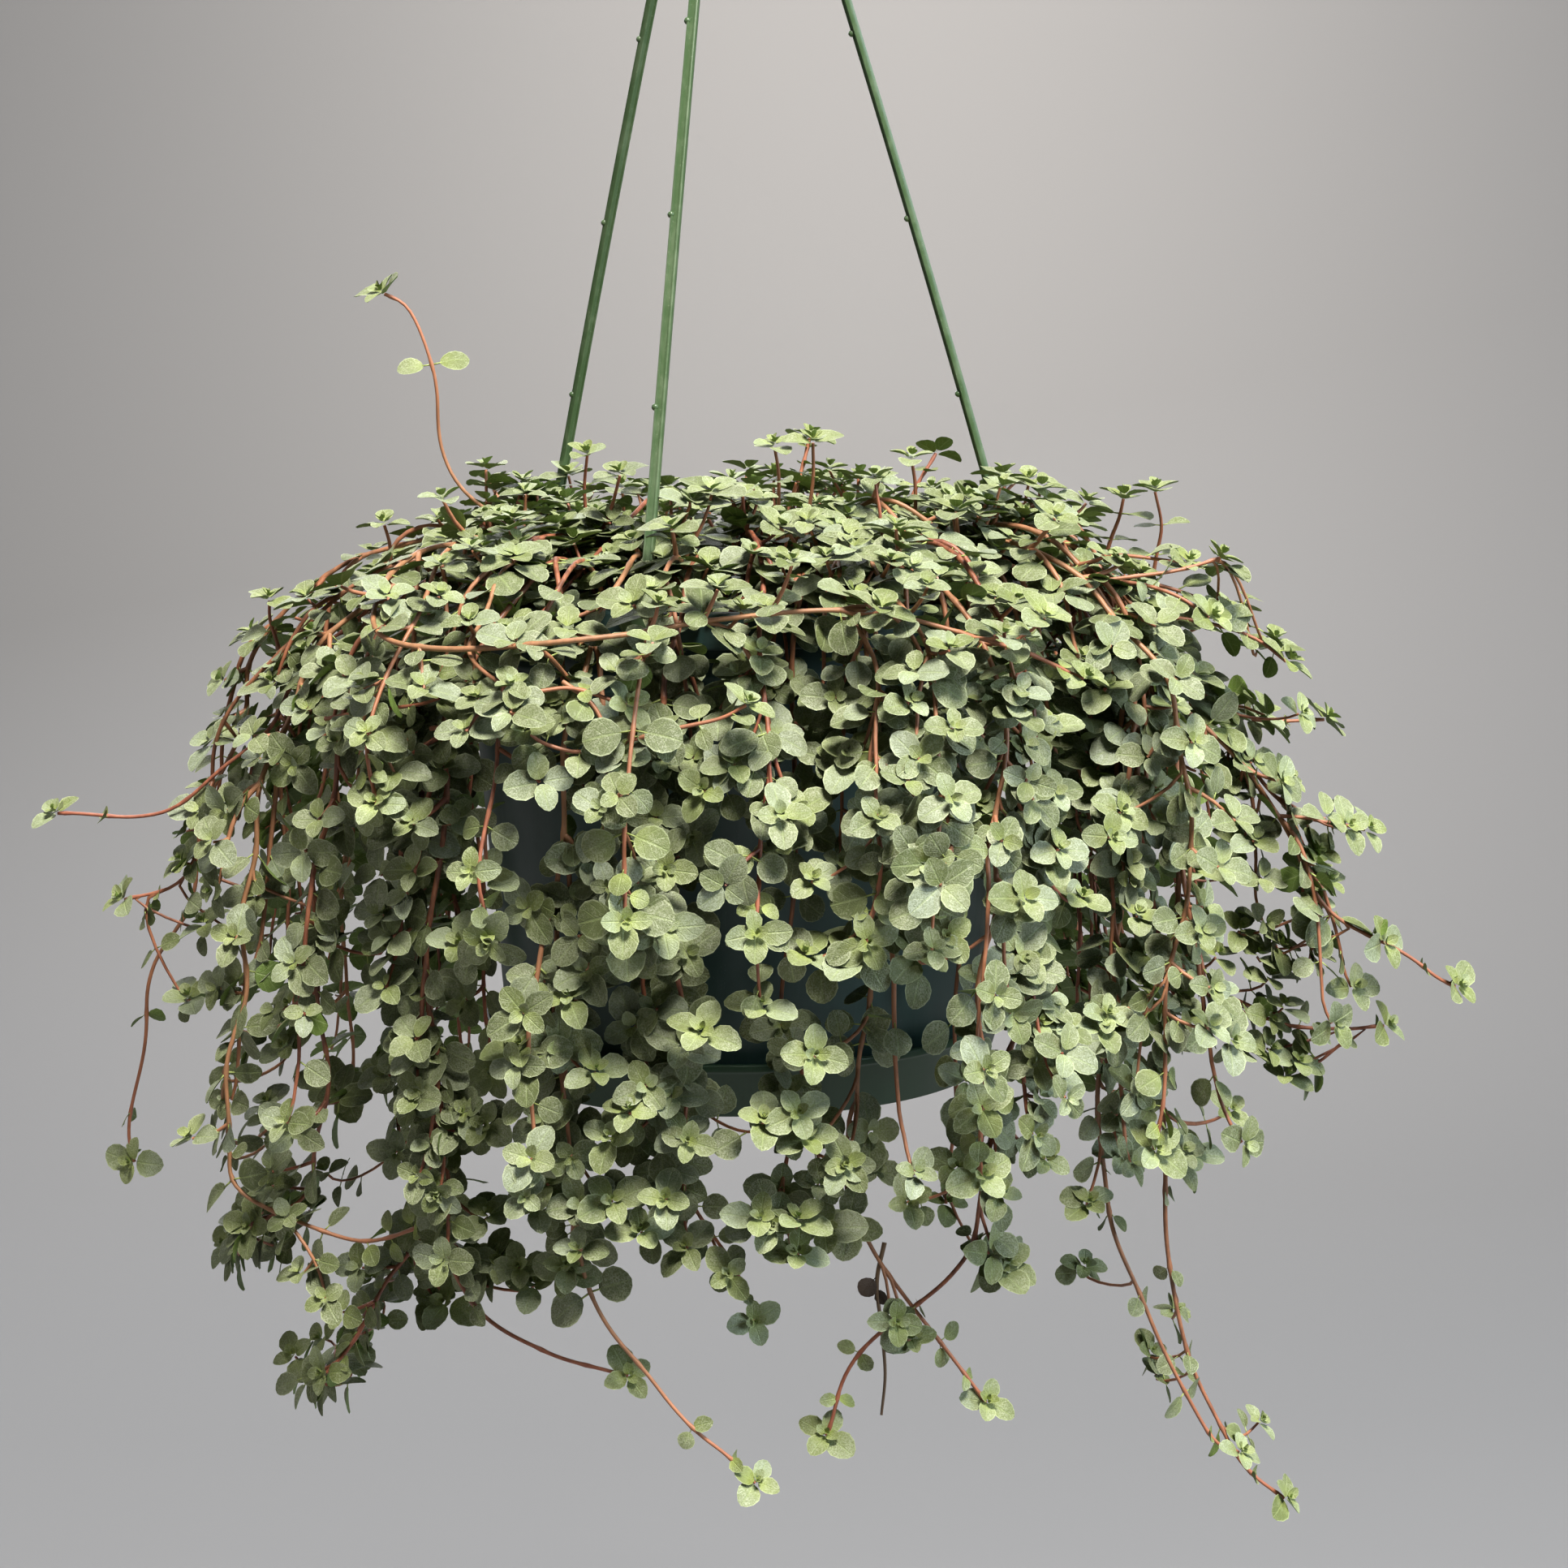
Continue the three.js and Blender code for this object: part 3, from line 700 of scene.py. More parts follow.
def strandPath(s, azimuth, count=60):
    top = onCircle(s["strandStart"], azimuth, s["hubZ"] - s["bedded"])
    foot = onCircle(rimRadius + s["rimGap"] + s["footThickness"] / 2, azimuth,
                    rimZ + s["footTop"] - s["bedded"])
    middle = (top + foot) * 0.5 + onCircle(2 * s["bow"], azimuth)
    points = []
    for i in range(count + 1):
        t = i / count
        points.append(top * (1 - t) ** 2 + middle * 2 * t * (1 - t) + foot * t ** 2)
    return points


def skinRings(work, rings):
    # faces from each ring to the next, and a cap at both ends
    count = len(rings[0])
    for low, high in zip(rings, rings[1:]):
        for i in range(count):
            j = (i + 1) % count
            work.faces.new((low[i], low[j], high[j], high[i]))
    work.faces.new(rings[0][::-1])
    work.faces.new(rings[-1])


def sweep(work, path, outline, side, widths=None):
    # sweeps a closed outline (across, outward) along a path
    rings = []
    for i, point in enumerate(path):
        ahead = path[min(i + 1, len(path) - 1)] - path[max(i - 1, 0)]
        ahead.normalize()
        across = (side - ahead * side.dot(ahead)).normalized()
        out = ahead.cross(across)
        scale = widths[i] if widths else 1.0
        rings.append([work.verts.new((point + across * a * scale + out * b * scale) * mm)
                      for a, b in outline])
    skinRings(work, rings)


def grooved(width, depth, groove, grooveWidth):
    # a rounded bar with a groove down both broad faces; the second half is the first one turned round
    w, d, g = width / 2, depth / 2, grooveWidth / 2
    corner, bevel, slope = 0.3, 0.09, 0.15
    front = [(-g - slope, d), (-g, d - groove), (g, d - groove), (g + slope, d)]
    right = [(w - corner, d), (w - bevel, d - bevel), (w, d - corner),
             (w, -d + corner), (w - bevel, -d + bevel), (w - corner, -d)]
    half = front + right
    return half + [(-x, -y) for x, y in half]


def roundSection(radius, sides=20):
    return [(radius * math.cos(2 * math.pi * i / sides), radius * math.sin(2 * math.pi * i / sides))
            for i in range(sides)]


def smoothLine(points, perSpan=12):
    # the curve through the points, as the stems and the hook use it
    line = []
    last = len(points) - 1
    for i in range(last):
        p1, p2 = points[i], points[i + 1]
        p0 = points[i - 1] if i > 0 else p1 * 2 - p2
        p3 = points[i + 2] if i + 2 <= last else p2 * 2 - p1
        t1, t2 = (p2 - p0) * 0.5, (p3 - p1) * 0.5
        for k in range(perSpan):
            t = k / perSpan
            line.append(p1 + t1 * t + (p2 * 3 - p1 * 3 - t1 * 2 - t2) * t ** 2
                        + (p1 * 2 - p2 * 2 + t1 + t2) * t ** 3)
    line.append(points[-1].copy())
    return line


def footOutline(s):
    inner = rimRadius + s["rimGap"]
    outer = inner + s["footThickness"]
    under = -potShape["skirtDrop"] - s["skirtGap"]
    bottom = under - s["footThickness"]
    lipOuter = rimRadius - potShape["skirt"] - s["lipGap"]
    lipInner = lipOuter - s["footLip"]
    return [Vector(corner) for corner in (
        (outer, s["footTop"]), (inner, s["footTop"]), (inner, under), (lipOuter, under),
        (lipOuter, s["footLipTop"]), (lipInner, s["footLipTop"]), (lipInner, bottom), (outer, bottom))]


def addFoot(work, s, azimuth):
    half = s["footWidth"] / 2
    edge, shrink = s["footRound"]
    outline = footOutline(s)
    centre = sum(outline, Vector((0, 0))) / len(outline)
    rings = []
    for aside, inset in ((-half, shrink), (-half + edge, 0.0), (half - edge, 0.0), (half, shrink)):
        ring = []
        for corner in outline:
            at = corner + (centre - corner).normalized() * inset
            point = onCircle(at.x, azimuth, rimZ + at.y) + onCircle(aside, azimuth + 90)
            ring.append(work.verts.new(point * mm))
        rings.append(ring)
    skinRings(work, rings)


def buildNubTree():
    # a small rounded nub on each point of the line it is given
    tree = bpy.data.node_groups.new("strandNubs", "GeometryNodeTree")
    tree.interface.new_socket("Geometry", in_out="INPUT", socket_type="NodeSocketGeometry")
    size = tree.interface.new_socket("Nub Radius", in_out="INPUT", socket_type="NodeSocketFloat")
    paint = tree.interface.new_socket("Plastic", in_out="INPUT", socket_type="NodeSocketMaterial")
    tree.interface.new_socket("Geometry", in_out="OUTPUT", socket_type="NodeSocketGeometry")
    start = tree.nodes.new("NodeGroupInput")
    end = tree.nodes.new("NodeGroupOutput")
    ball = addNode(tree, "GeometryNodeMeshUVSphere", None, {"Segments": 14, "Rings": 9})
    place = addNode(tree, "GeometryNodeInstanceOnPoints")
    real = addNode(tree, "GeometryNodeRealizeInstances")
    smooth = addNode(tree, "GeometryNodeSetShadeSmooth")
    coat = addNode(tree, "GeometryNodeSetMaterial")
    connect(tree, (start, "Nub Radius", ball, "Radius"), (start, "Geometry", place, "Points"),
            (ball, "Mesh", place, "Instance"), (place, "Instances", smooth, "Geometry"),
            (smooth, "Geometry", real, "Geometry"), (real, "Geometry", coat, "Geometry"),
            (start, "Plastic", coat, "Material"), (coat, "Geometry", end, "Geometry"))
    return tree, size.identifier, paint.identifier


def buildNubs(s):
    points = []
    for azimuth in s["azimuths"]:
        path = strandPath(s, azimuth, 200)
        for h in s["nubHeights"]:
            near = min(path, key=lambda point: abs(heightOf(point) - h))
            points.append((near + onCircle(s["nubOut"], s["nubSide"])) * mm)
    nubs = placeObject("hangerNubs", meshFrom("nubs", points, []))
    tree, size, paint = buildNubTree()
    modifier = nubs.modifiers.new("nubs", "NODES")
    modifier.node_group = tree
    modifier[size] = s["nubRadius"] * mm
    modifier[paint] = strandPlastic
    return bakeModifiers(nubs, "hangerNubs")


def hookPath(s):
    # round the eye, down the shank and into the hub
    ring = s["hookRadius"] + s["hookWire"]
    path = []
    for turn in s["hookTurns"]:
        angle = math.radians(turn)
        path.append(Vector((ring * math.cos(angle), 0, -s["hookRadius"] + ring * math.sin(angle))))
    path += [Vector((x, 0, -s["hookRadius"] - down)) for x, down in s["hookShank"]]
    return smoothLine(path + [Vector((0, 0, s["hubZ"]))])


def buildHanger(s):
    work = bmesh.new()
    away = Vector((0, 1, 0))
    bar = grooved(s["strandWidth"], s["strandDepth"], s["groove"], s["grooveWidth"])
    for azimuth in s["azimuths"]:
        sweep(work, strandPath(s, azimuth), bar, onCircle(1, azimuth + 90))
        addFoot(work, s, azimuth)
    line = hookPath(s)
    widths = [0.55 + 0.45 * clamp(i / 5) for i in range(len(line))]
    sweep(work, line, roundSection(s["hookWire"]), away, widths)
    hubPath = [Vector((0, 0, s["hubZ"] + h)) for radius, h in s["hub"]]
    sweep(work, hubPath, roundSection(1.0, 28), away, [radius for radius, h in s["hub"]])
    bmesh.ops.recalc_face_normals(work, faces=work.faces)
    mesh = bpy.data.meshes.new("hanger")
    work.to_mesh(mesh)
    work.free()
    shadeSmooth(mesh, s["smooth"])
    mesh.materials.append(strandPlastic)
    return placeObject("strandHanger", mesh)


hangerPiece = buildHanger(hangerShape)
nubPiece = buildNubs(hangerShape)
for piece in (hangerPiece, nubPiece):
    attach(piece, "root")
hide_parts("hanger")
print("hanger made")


# vines: their routes, as the frame has them

# the vines placed one by one: right of the axis, behind it, and over the rim; the first place is the root
placedVines = [
    # the upright shoot that stands clear of the mound on the left
    [(-38, 8), (-48, 6, 8), (-64, 2, 18), (-74, 0, 26), (-79, 0, 37), (-79, -2, 53), (-81, -3, 62),
     (-87, -4, 73), (-93, -4, 78)],
    # left side: two level shoots, a hanging one, and the low sweep to the left
    [(-30, -8), (-62, -16, 12), (-104, -25, -8), (-123, -30, -33), (-143, -30, -51), (-158, -30, -56),
     (-178, -30, -55)],
    [(-34, -20), (-80, -32, 9), (-124, -36, -20), (-140, -26, -55), (-148, -22, -76), (-162, -22, -81)],
    [(-30, 4), (-70, 8, 12), (-118, 10, -4), (-140, 10, -50), (-151, 10, -88), (-160, 10, -105),
     (-165, 10, -125), (-168, 10, -161)],
    [(-26, -18), (-66, -34, 10), (-104, -48, -8), (-122, -54, -52), (-128, -60, -103), (-132, -60, -134),
     (-126, -65, -150), (-98, -70, -160), (-77, -75, -153)],
    [(-20, -26), (-44, -50, 17), (-68, -74, -2), (-80, -80, -60), (-82, -68, -125), (-79, -60, -153),
     (-94, -60, -179), (-109, -60, -197)],
    [(-40, -32), (-62, -56, 14), (-92, -78, -12), (-104, -78, -70), (-106, -70, -130), (-112, -62, -150),
     (-126, -58, -160)],
    # long trailers in front, left of the middle
    [(-12, -34), (-24, -68, 14), (-36, -100, -12), (-43, -104, -60), (-42, -97, -127), (-36, -95, -168),
     (-21, -95, -192), (-5, -95, -208), (4, -95, -217)],
    [(-28, -38), (-44, -66, 13), (-64, -92, -14), (-74, -94, -70), (-76, -84, -140), (-70, -80, -172),
     (-50, -82, -185), (-28, -85, -192)],
    [(-4, -38), (-8, -70, 14), (-16, -100, -12), (-20, -104, -60), (-18, -92, -128), (-13, -90, -143),
     (1, -90, -168), (3, -90, -176)],
    # long trailers in front, right of the middle
    [(24, -26), (44, -56, 17), (67, -86, -6), (73, -94, -60), (66, -84, -111), (60, -80, -150),
     (52, -80, -167), (30, -80, -187), (21, -80, -210)],
    [(10, -28), (20, -62, 17), (30, -90, -12), (31, -92, -70), (24, -78, -130), (24, -72, -153),
     (38, -72, -177), (57, -72, -204)],
    [(34, -14), (66, -34, 18), (97, -54, -6), (99, -60, -60), (92, -54, -118), (96, -50, -159),
     (105, -50, -188), (122, -50, -219), (131, -50, -226)],
    [(46, -6), (76, -22, 14), (106, -38, -8), (114, -42, -60), (110, -40, -120), (112, -40, -170),
     (118, -40, -203), (130, -40, -229), (144, -40, -242)],
    # right side: shoots that reach out level or slant down
    [(30, -6), (70, -18, 21), (106, -28, -16), (125, -30, -40), (138, -30, -55), (155, -30, -82),
     (179, -30, -100), (188, -30, -105)],
    [(44, 6), (82, -4, 15), (113, -14, -18), (129, -20, -38), (141, -20, -54), (152, -18, -63),
     (166, -18, -65)],
    [(42, -22), (72, -36, 12), (96, -42, -18), (102, -36, -70), (107, -28, -98), (131, -22, -111),
     (158, -20, -119), (172, -20, -118)],
    [(26, 12), (68, 16, 20), (104, 14, -8), (120, 12, -26), (139, 10, -38), (160, 10, -39)],
    [(8, -12), (32, -26, 21), (61, -34, 6), (89, -34, 1), (122, -32, 5)],
    # two stems that cross the front of the mound
    [(-50, -20), (-66, -40, 13), (-84, -68, 8), (-84, -92, -2), (-66, -106, -6), (-28, -111, -3),
     (0, -109, 1), (30, -107, 2), (66, -105, -6), (84, -102, -15)],
    [(-42, -44), (-47, -57, 9), (-52, -74, 11), (-60, -102, -5), (-50, -116, -14), (-36, -116, -14),
     (-22, -116, -19)],
    # front vines whose bright ends face the viewer
    [(0, -28), (4, -60, 18), (7, -96, 0), (7, -113, -24), (7, -122, -54), (4, -127, -70)],
    [(14, -44), (23, -80, 12), (32, -109, -8), (33, -118, -36), (32, -123, -72)],
    [(30, -44), (46, -76, 12), (63, -98, -10), (67, -105, -34), (63, -111, -64), (61, -111, -100),
     (61, -107, -136)],
    [(46, -30), (59, -39, 9), (74, -50, 13), (102, -67, -10), (114, -73, -51), (108, -76, -100),
     (106, -76, -137)],
    [(-8, -52), (-10, -67, 9), (-14, -84, 12), (-20, -113, -10), (-23, -125, -40), (-24, -131, -68)],
    [(24, -56), (27, -70, 9), (32, -88, 10), (42, -113, -10), (46, -125, -42), (46, -131, -73)],
    [(-30, -52), (-35, -66, 9), (-40, -80, 11), (-53, -105, -12), (-58, -117, -42), (-59, -122, -73)],
    [(-56, -22), (-64, -38, 11), (-72, -56, 12), (-83, -85, -6), (-88, -98, -28), (-88, -102, -45)],
    # short upright shoots on top of the mound
    [(8, 22), (12, 25, 10), (16, 28, 26), (19, 30, 38)],
    [(40, 26), (44, 30, 8), (48, 34, 22), (54, 37, 33)],
]

# the vines spread by rule: how many, between which azimuths, and the ranges their measures are drawn from
vineRings = [
    {"count": 9, "from": 14, "to": 168,
     "root": (54, 64), "reach": (92, 114), "crest": (8, 11), "drop": (110, 160)},
    {"count": 9, "from": 22, "to": 160,
     "root": (20, 44), "reach": (128, 152), "crest": (9, 15), "drop": (80, 160)},
    {"count": 6, "from": -170, "to": -12,
     "root": (60, 66), "reach": (87, 94), "crest": (7, 9), "drop": (112, 160)},
]

routeRule = {
    "seed": 20417,
    "rootH": -15.0,
    "stray": (-3, 3),
    "sway": (-10, 10),
    "flare": (-10, 8),
    "clearance": 3.4,
    "rimAllowance": 1.0,
    "perSpan": 16,
    "tries": 60,
    "shift": 1.3,
    "turn": 2.399963,           # the golden angle, in radians
    "lift": 0.4,
    "innerRim": 71.9,
    "strandSamples": 120,
    "footHeights": range(-12, 7, 2),
    "footTurns": (-2.3, 0, 2.3),
}


def makeDraws(seed):
    # the same plain draws as the solid part uses, so that both have the same routes
    factor, modulus = 16807, 2147483647
    state = seed

    def draw(low, high):
        nonlocal state
        state = (state * factor) % modulus
        return low + (high - low) * (state / modulus)

    return draw


def ringVine(s, azimuth, root, reach, crest, drop, sway, flare):
    span = reach - root
    steps = [
        (root, s["rootH"], 0),
        (root + 0.2 * span, 0.75 * crest, 0.05),
        (root + 0.5 * span, crest, 0.15),
        (root + 0.82 * span, crest - 0.17 * span, 0.35),
        (reach, crest - 0.42 * span - 6, 0.5),
        (reach + 0.6 * flare, -0.6 * drop, 0.75),
        (reach + flare, -drop, 1),
    ]
    return np.array([tuple(onCircle(radius, azimuth + sway * share, rimZ + h)) for radius, h, share in steps])


def vineRoutes(s):
    routes = []
    for places in placedVines:
        root = (*places[0], s["rootH"])
        routes.append(np.array([(x, y, rimZ + h) for x, y, h in (root, *places[1:])], dtype=float))
    draw = makeDraws(s["seed"])
    for ring in vineRings:
        step = (ring["to"] - ring["from"]) / (ring["count"] - 1)
        for i in range(ring["count"]):
            azimuth = ring["from"] + step * i + draw(*s["stray"])
            root, reach, crest, drop = [draw(*ring[label]) for label in ("root", "reach", "crest", "drop")]
            routes.append(ringVine(s, azimuth, root, reach, crest, drop, draw(*s["sway"]), draw(*s["flare"])))
    return routes


def splinePoints(route, perSpan):
    before = np.vstack([2 * route[0] - route[1], route[:-1]])[:len(route) - 1]
    after = np.vstack([route[2:], 2 * route[-1] - route[-2]])
    p1, p2 = route[:-1], route[1:]
    t1, t2 = (p2 - before) * 0.5, (after - p1) * 0.5
    t = (np.arange(perSpan) / perSpan)[None, :, None]
    a, b = p1[:, None], t1[:, None]
    c = (3 * (p2 - p1) - 2 * t1 - t2)[:, None]
    d = (2 * (p1 - p2) + t1 + t2)[:, None]
    line = (a + b * t + c * t ** 2 + d * t ** 3).reshape(-1, 3)
    return np.vstack([line, route[-1]])


def nearestGap(s, samples, placed):
    radius = np.hypot(samples[:, 0], samples[:, 1])
    h = samples[:, 2] - rimZ
    aside = np.maximum(np.maximum(s["innerRim"] - radius, radius - rimRadius), 0)
    fromPot = np.where(h < 0, aside, np.hypot(aside, h)).min() + s["rimAllowance"]
    apart = samples[:, None, :] - placed[None, :, :]
    return min(fromPot, math.sqrt((apart ** 2).sum(axis=2).min()))


def hangerObstacles(s, hanger):
    # places on the strands and round the feet that the vines keep clear of
    obstacles = []
    for azimuth in hanger["azimuths"]:
        obstacles += [tuple(point) for point in strandPath(hanger, azimuth, s["strandSamples"])]
        obstacles += [tuple(onCircle(rimRadius + hanger["footThickness"], azimuth + turn, rimZ + h))
                      for h in s["footHeights"] for turn in s["footTurns"]]
    return np.array(obstacles)


def settleRoutes(s, routes):
    # a vine that comes too near another is shifted a little further each time until it is clear
    placed = hangerObstacles(s, hangerShape)
    settled = []
    for route in routes:
        shares = np.minimum(1, 0.5 + 0.5 * np.arange(len(route)))
        best, bestGap = None, -1
        for attempt in range(s["tries"]):
            size = s["shift"] * math.sqrt(attempt)
            angle = attempt * s["turn"]
            shift = np.array([size * math.cos(angle), size * math.sin(angle), s["lift"] * size])
            tried = route + shares[:, None] * shift
            tried[0, 2] = route[0, 2]
            gap = nearestGap(s, splinePoints(tried, s["perSpan"]), placed)
            if gap > bestGap:
                best, bestGap = tried, gap
            if bestGap >= s["clearance"]:
                break
        placed = np.vstack([placed, splinePoints(best, s["perSpan"])])
        settled.append(best)
    return settled


routes = settleRoutes(routeRule, vineRoutes(routeRule))
print("routes settled:", len(routes))


# leaves: a few shapes, each a thin closed blade, one unit long from stem to tip

leafShape = {
    "thickness": 0.035,
    "stalkRadius": 0.028,
    "stalkRise": 0.02,
    "stalkFrom": 0.15,              # a shorter stalk than this isn't drawn
    "edgeAngle": 100.0,
}

leafKinds = {
    "leaf0round": {"petiole": 0.24, "half": 0.49, "lean": 1.00, "bluff": 0.50,
                   "cup": 0.12, "droop": 0.16, "fold": 0.05, "twist": 0.0, "spans": 7},
    "leaf1broad": {"petiole": 0.22, "half": 0.52, "lean": 1.06, "bluff": 0.54,
                   "cup": -0.14, "droop": 0.20, "fold": 0.05, "twist": 0.14, "spans": 7},
    "leaf2oval": {"petiole": 0.22, "half": 0.41, "lean": 0.97, "bluff": 0.54,
                  "cup": 0.18, "droop": 0.10, "fold": 0.07, "twist": -0.12, "spans": 7},
    "leaf3egg": {"petiole": 0.20, "half": 0.45, "lean": 0.90, "bluff": 0.62,
                 "cup": 0.14, "droop": 0.24, "fold": 0.07, "twist": 0.08, "spans": 7},
    "leaf4whorl": {"petiole": 0.08, "half": 0.43, "lean": 0.97, "bluff": 0.54,
                   "cup": 0.20, "droop": 0.12, "fold": 0.07, "twist": 0.0, "spans": 6},
    "leaf5whorl": {"petiole": 0.10, "half": 0.39, "lean": 0.96, "bluff": 0.58,
                   "cup": 0.28, "droop": 0.18, "fold": 0.09, "twist": 0.08, "spans": 6},
    "leaf6small": {"petiole": 0.06, "half": 0.42, "lean": 0.96, "bluff": 0.58,
                   "cup": 0.35, "droop": 0.02, "fold": 0.10, "twist": 0.0, "spans": 5},
    "leaf7bud": {"petiole": 0.02, "half": 0.36, "lean": 0.95, "bluff": 0.70,
                 "cup": 0.80, "droop": -0.24, "fold": 0.14, "twist": 0.0, "spans": 4},
}


def leafMesh(name, kind, s):
    work = bmesh.new()
    uvLayer = work.loops.layers.uv.new("leafUv")
    share = kind["petiole"]
    spans = kind["spans"]
    stations = [(1 - math.cos(math.pi * k / spans)) / 2 for k in range(spans + 1)]

    def onBlade(t, side, drop=0.0):
        half = 0.0
        if 0 < t < 1:
            half = kind["half"] * (1 - share) * math.sin(math.pi * t ** kind["lean"]) ** kind["bluff"]
        y = side * half
        z = s["stalkRise"] + kind["cup"] * y * y * 2.2 - kind["droop"] * (t - 0.25) ** 2
        z += kind["fold"] * abs(side) * half + kind["twist"] * y * (t - 0.3)
        return Vector((share + (1 - share) * t, y, z + drop))

    top, under = [], []
    for k, t in enumerate(stations):
        if k in (0, spans):
            end = work.verts.new(onBlade(t, 0))
            top.append([end] * 3)
            under.append(end)
        else:
            top.append([work.verts.new(onBlade(t, side)) for side in (-1, 0, 1)])
            under.append(work.verts.new(onBlade(t, 0, -s["thickness"])))

    def addFace(corners, coords):
        kept, places = [], []
        for vertex, place in zip(corners, coords):
            if vertex not in kept:
                kept.append(vertex)
                places.append(place)
        face = work.faces.new(kept)
        face.smooth = True
        for loop, place in zip(face.loops, places):
            loop[uvLayer].uv = place

    for k in range(spans):
        t0, t1 = stations[k], stations[k + 1]
        for i, u0, u1 in ((0, 0.0, 0.5), (1, 0.5, 1.0)):
            addFace((top[k][i], top[k + 1][i], top[k + 1][i + 1], top[k][i + 1]),
                    ((u0, t0), (u0, t1), (u1, t1), (u1, t0)))
        # the underside's uv is shifted by 2, so that the skin can tell it
        addFace((top[k][0], under[k], under[k + 1], top[k + 1][0]),
                ((2.0, t0), (2.5, t0), (2.5, t1), (2.0, t1)))
        addFace((under[k], top[k][-1], top[k + 1][-1], under[k + 1]),
                ((2.5, t0), (3.0, t0), (3.0, t1), (2.5, t1)))
    if share > s["stalkFrom"]:
        onStalk = (0.5, -0.5)
        ends = ((0.0, 0.0, s["stalkRadius"]), (share + 0.05, 0.3 * s["stalkRise"], 0.75 * s["stalkRadius"]))
        stalk = [[work.verts.new((x, radius * math.cos(a), z + radius * math.sin(a)))
                  for a in (math.pi / 2, math.pi * 7 / 6, math.pi * 11 / 6)] for x, z, radius in ends]
        for i in range(3):
            j = (i + 1) % 3
            addFace((stalk[0][i], stalk[1][i], stalk[1][j], stalk[0][j]), (onStalk,) * 4)
        addFace(stalk[0], (onStalk,) * 3)
        addFace(stalk[1][::-1], (onStalk,) * 3)
    bmesh.ops.recalc_face_normals(work, faces=work.faces)
    for edge in work.edges:
        if edge.calc_face_angle(0) > math.radians(s["edgeAngle"]):
            edge.smooth = False
    mesh = bpy.data.meshes.new(name)
    work.to_mesh(mesh)
    work.free()
    return mesh


leafStore = bpy.data.collections.new("leafStore")
for name, kind in leafKinds.items():
    leafStore.objects.link(bpy.data.objects.new(name, leafMesh(name, kind, leafShape)))
print("leaf shapes made")


def buildFoliageTree():
    # stems swept along the edges, and a leaf on each loose point
    tree = bpy.data.node_groups.new("vineFoliage", "GeometryNodeTree")
    sockets = {}
    for label, kind in (("Geometry", "NodeSocketGeometry"), ("Stem Sides", "NodeSocketInt"),
                        ("Stem Scale", "NodeSocketFloat"), ("Leaf Scale", "NodeSocketFloat"),
                        ("Leaves", "NodeSocketCollection"), ("Stem Finish", "NodeSocketMaterial"),
                        ("Leaf Finish", "NodeSocketMaterial")):
        sockets[label] = tree.interface.new_socket(label, in_out="INPUT", socket_type=kind).identifier
    tree.interface.new_socket("Geometry", in_out="OUTPUT", socket_type="NodeSocketGeometry")
    start = tree.nodes.new("NodeGroupInput")
    end = tree.nodes.new("NodeGroupOutput")

    def stored(name, kind):
        return addNode(tree, "GeometryNodeInputNamedAttribute", {"data_type": kind},
                       {"Name": name}).outputs["Attribute"]

    split = addNode(tree, "GeometryNodeSeparateGeometry", {"domain": "POINT"})
    lines = addNode(tree, "GeometryNodeMeshToCurve")
    ring = addNode(tree, "GeometryNodeCurvePrimitiveCircle", None, {"Radius": 1.0})
    tube = addNode(tree, "GeometryNodeCurveToMesh", None, {"Fill Caps": True})
    smooth = addNode(tree, "GeometryNodeSetShadeSmooth")
    stemCoat = addNode(tree, "GeometryNodeSetMaterial")
    tree.links.new(stored("isLeaf", "BOOLEAN"), split.inputs["Selection"])
    stemSize = times(tree, stored("stemRadius", "FLOAT"), start.outputs["Stem Scale"])
    tree.links.new(stemSize, tube.inputs["Scale"])
    connect(tree, (start, "Geometry", split, "Geometry"), (split, "Inverted", lines, "Mesh"),
            (start, "Stem Sides", ring, "Resolution"), (lines, "Curve", tube, "Curve"),
            (ring, "Curve", tube, "Profile Curve"), (tube, "Mesh", smooth, "Geometry"),
            (smooth, "Geometry", stemCoat, "Geometry"), (start, "Stem Finish", stemCoat, "Material"))

    pick = addNode(tree, "GeometryNodeCollectionInfo", None,
                   {"Separate Children": True, "Reset Children": True})
    turn = addNode(tree, "FunctionNodeEulerToRotation")
    place = addNode(tree, "GeometryNodeInstanceOnPoints", None, {"Pick Instance": True})
    real = addNode(tree, "GeometryNodeRealizeInstances")
    leafCoat = addNode(tree, "GeometryNodeSetMaterial")
    tree.links.new(stored("leafTurn", "FLOAT_VECTOR"), turn.inputs[0])
    tree.links.new(stored("leafKind", "INT"), place.inputs["Instance Index"])
    leafSize = times(tree, stored("leafSize", "FLOAT"), start.outputs["Leaf Scale"])
    tree.links.new(leafSize, place.inputs["Scale"])
    connect(tree, (start, "Leaves", pick, "Collection"), (split, "Selection", place, "Points"),
            (pick, "Instances", place, "Instance"), (turn, 0, place, "Rotation"),
            (place, "Instances", real, "Geometry"), (real, "Geometry", leafCoat, "Geometry"),
            (start, "Leaf Finish", leafCoat, "Material"))

    join = addNode(tree, "GeometryNodeJoinGeometry")
    connect(tree, (stemCoat, "Geometry", join, 0), (leafCoat, "Geometry", join, 0),
            (join, 0, end, "Geometry"))
    return tree, sockets


foliageTree, foliageSockets = buildFoliageTree()


# growth: where each vine carries nodes, side shoots and leaves; lengths in mm

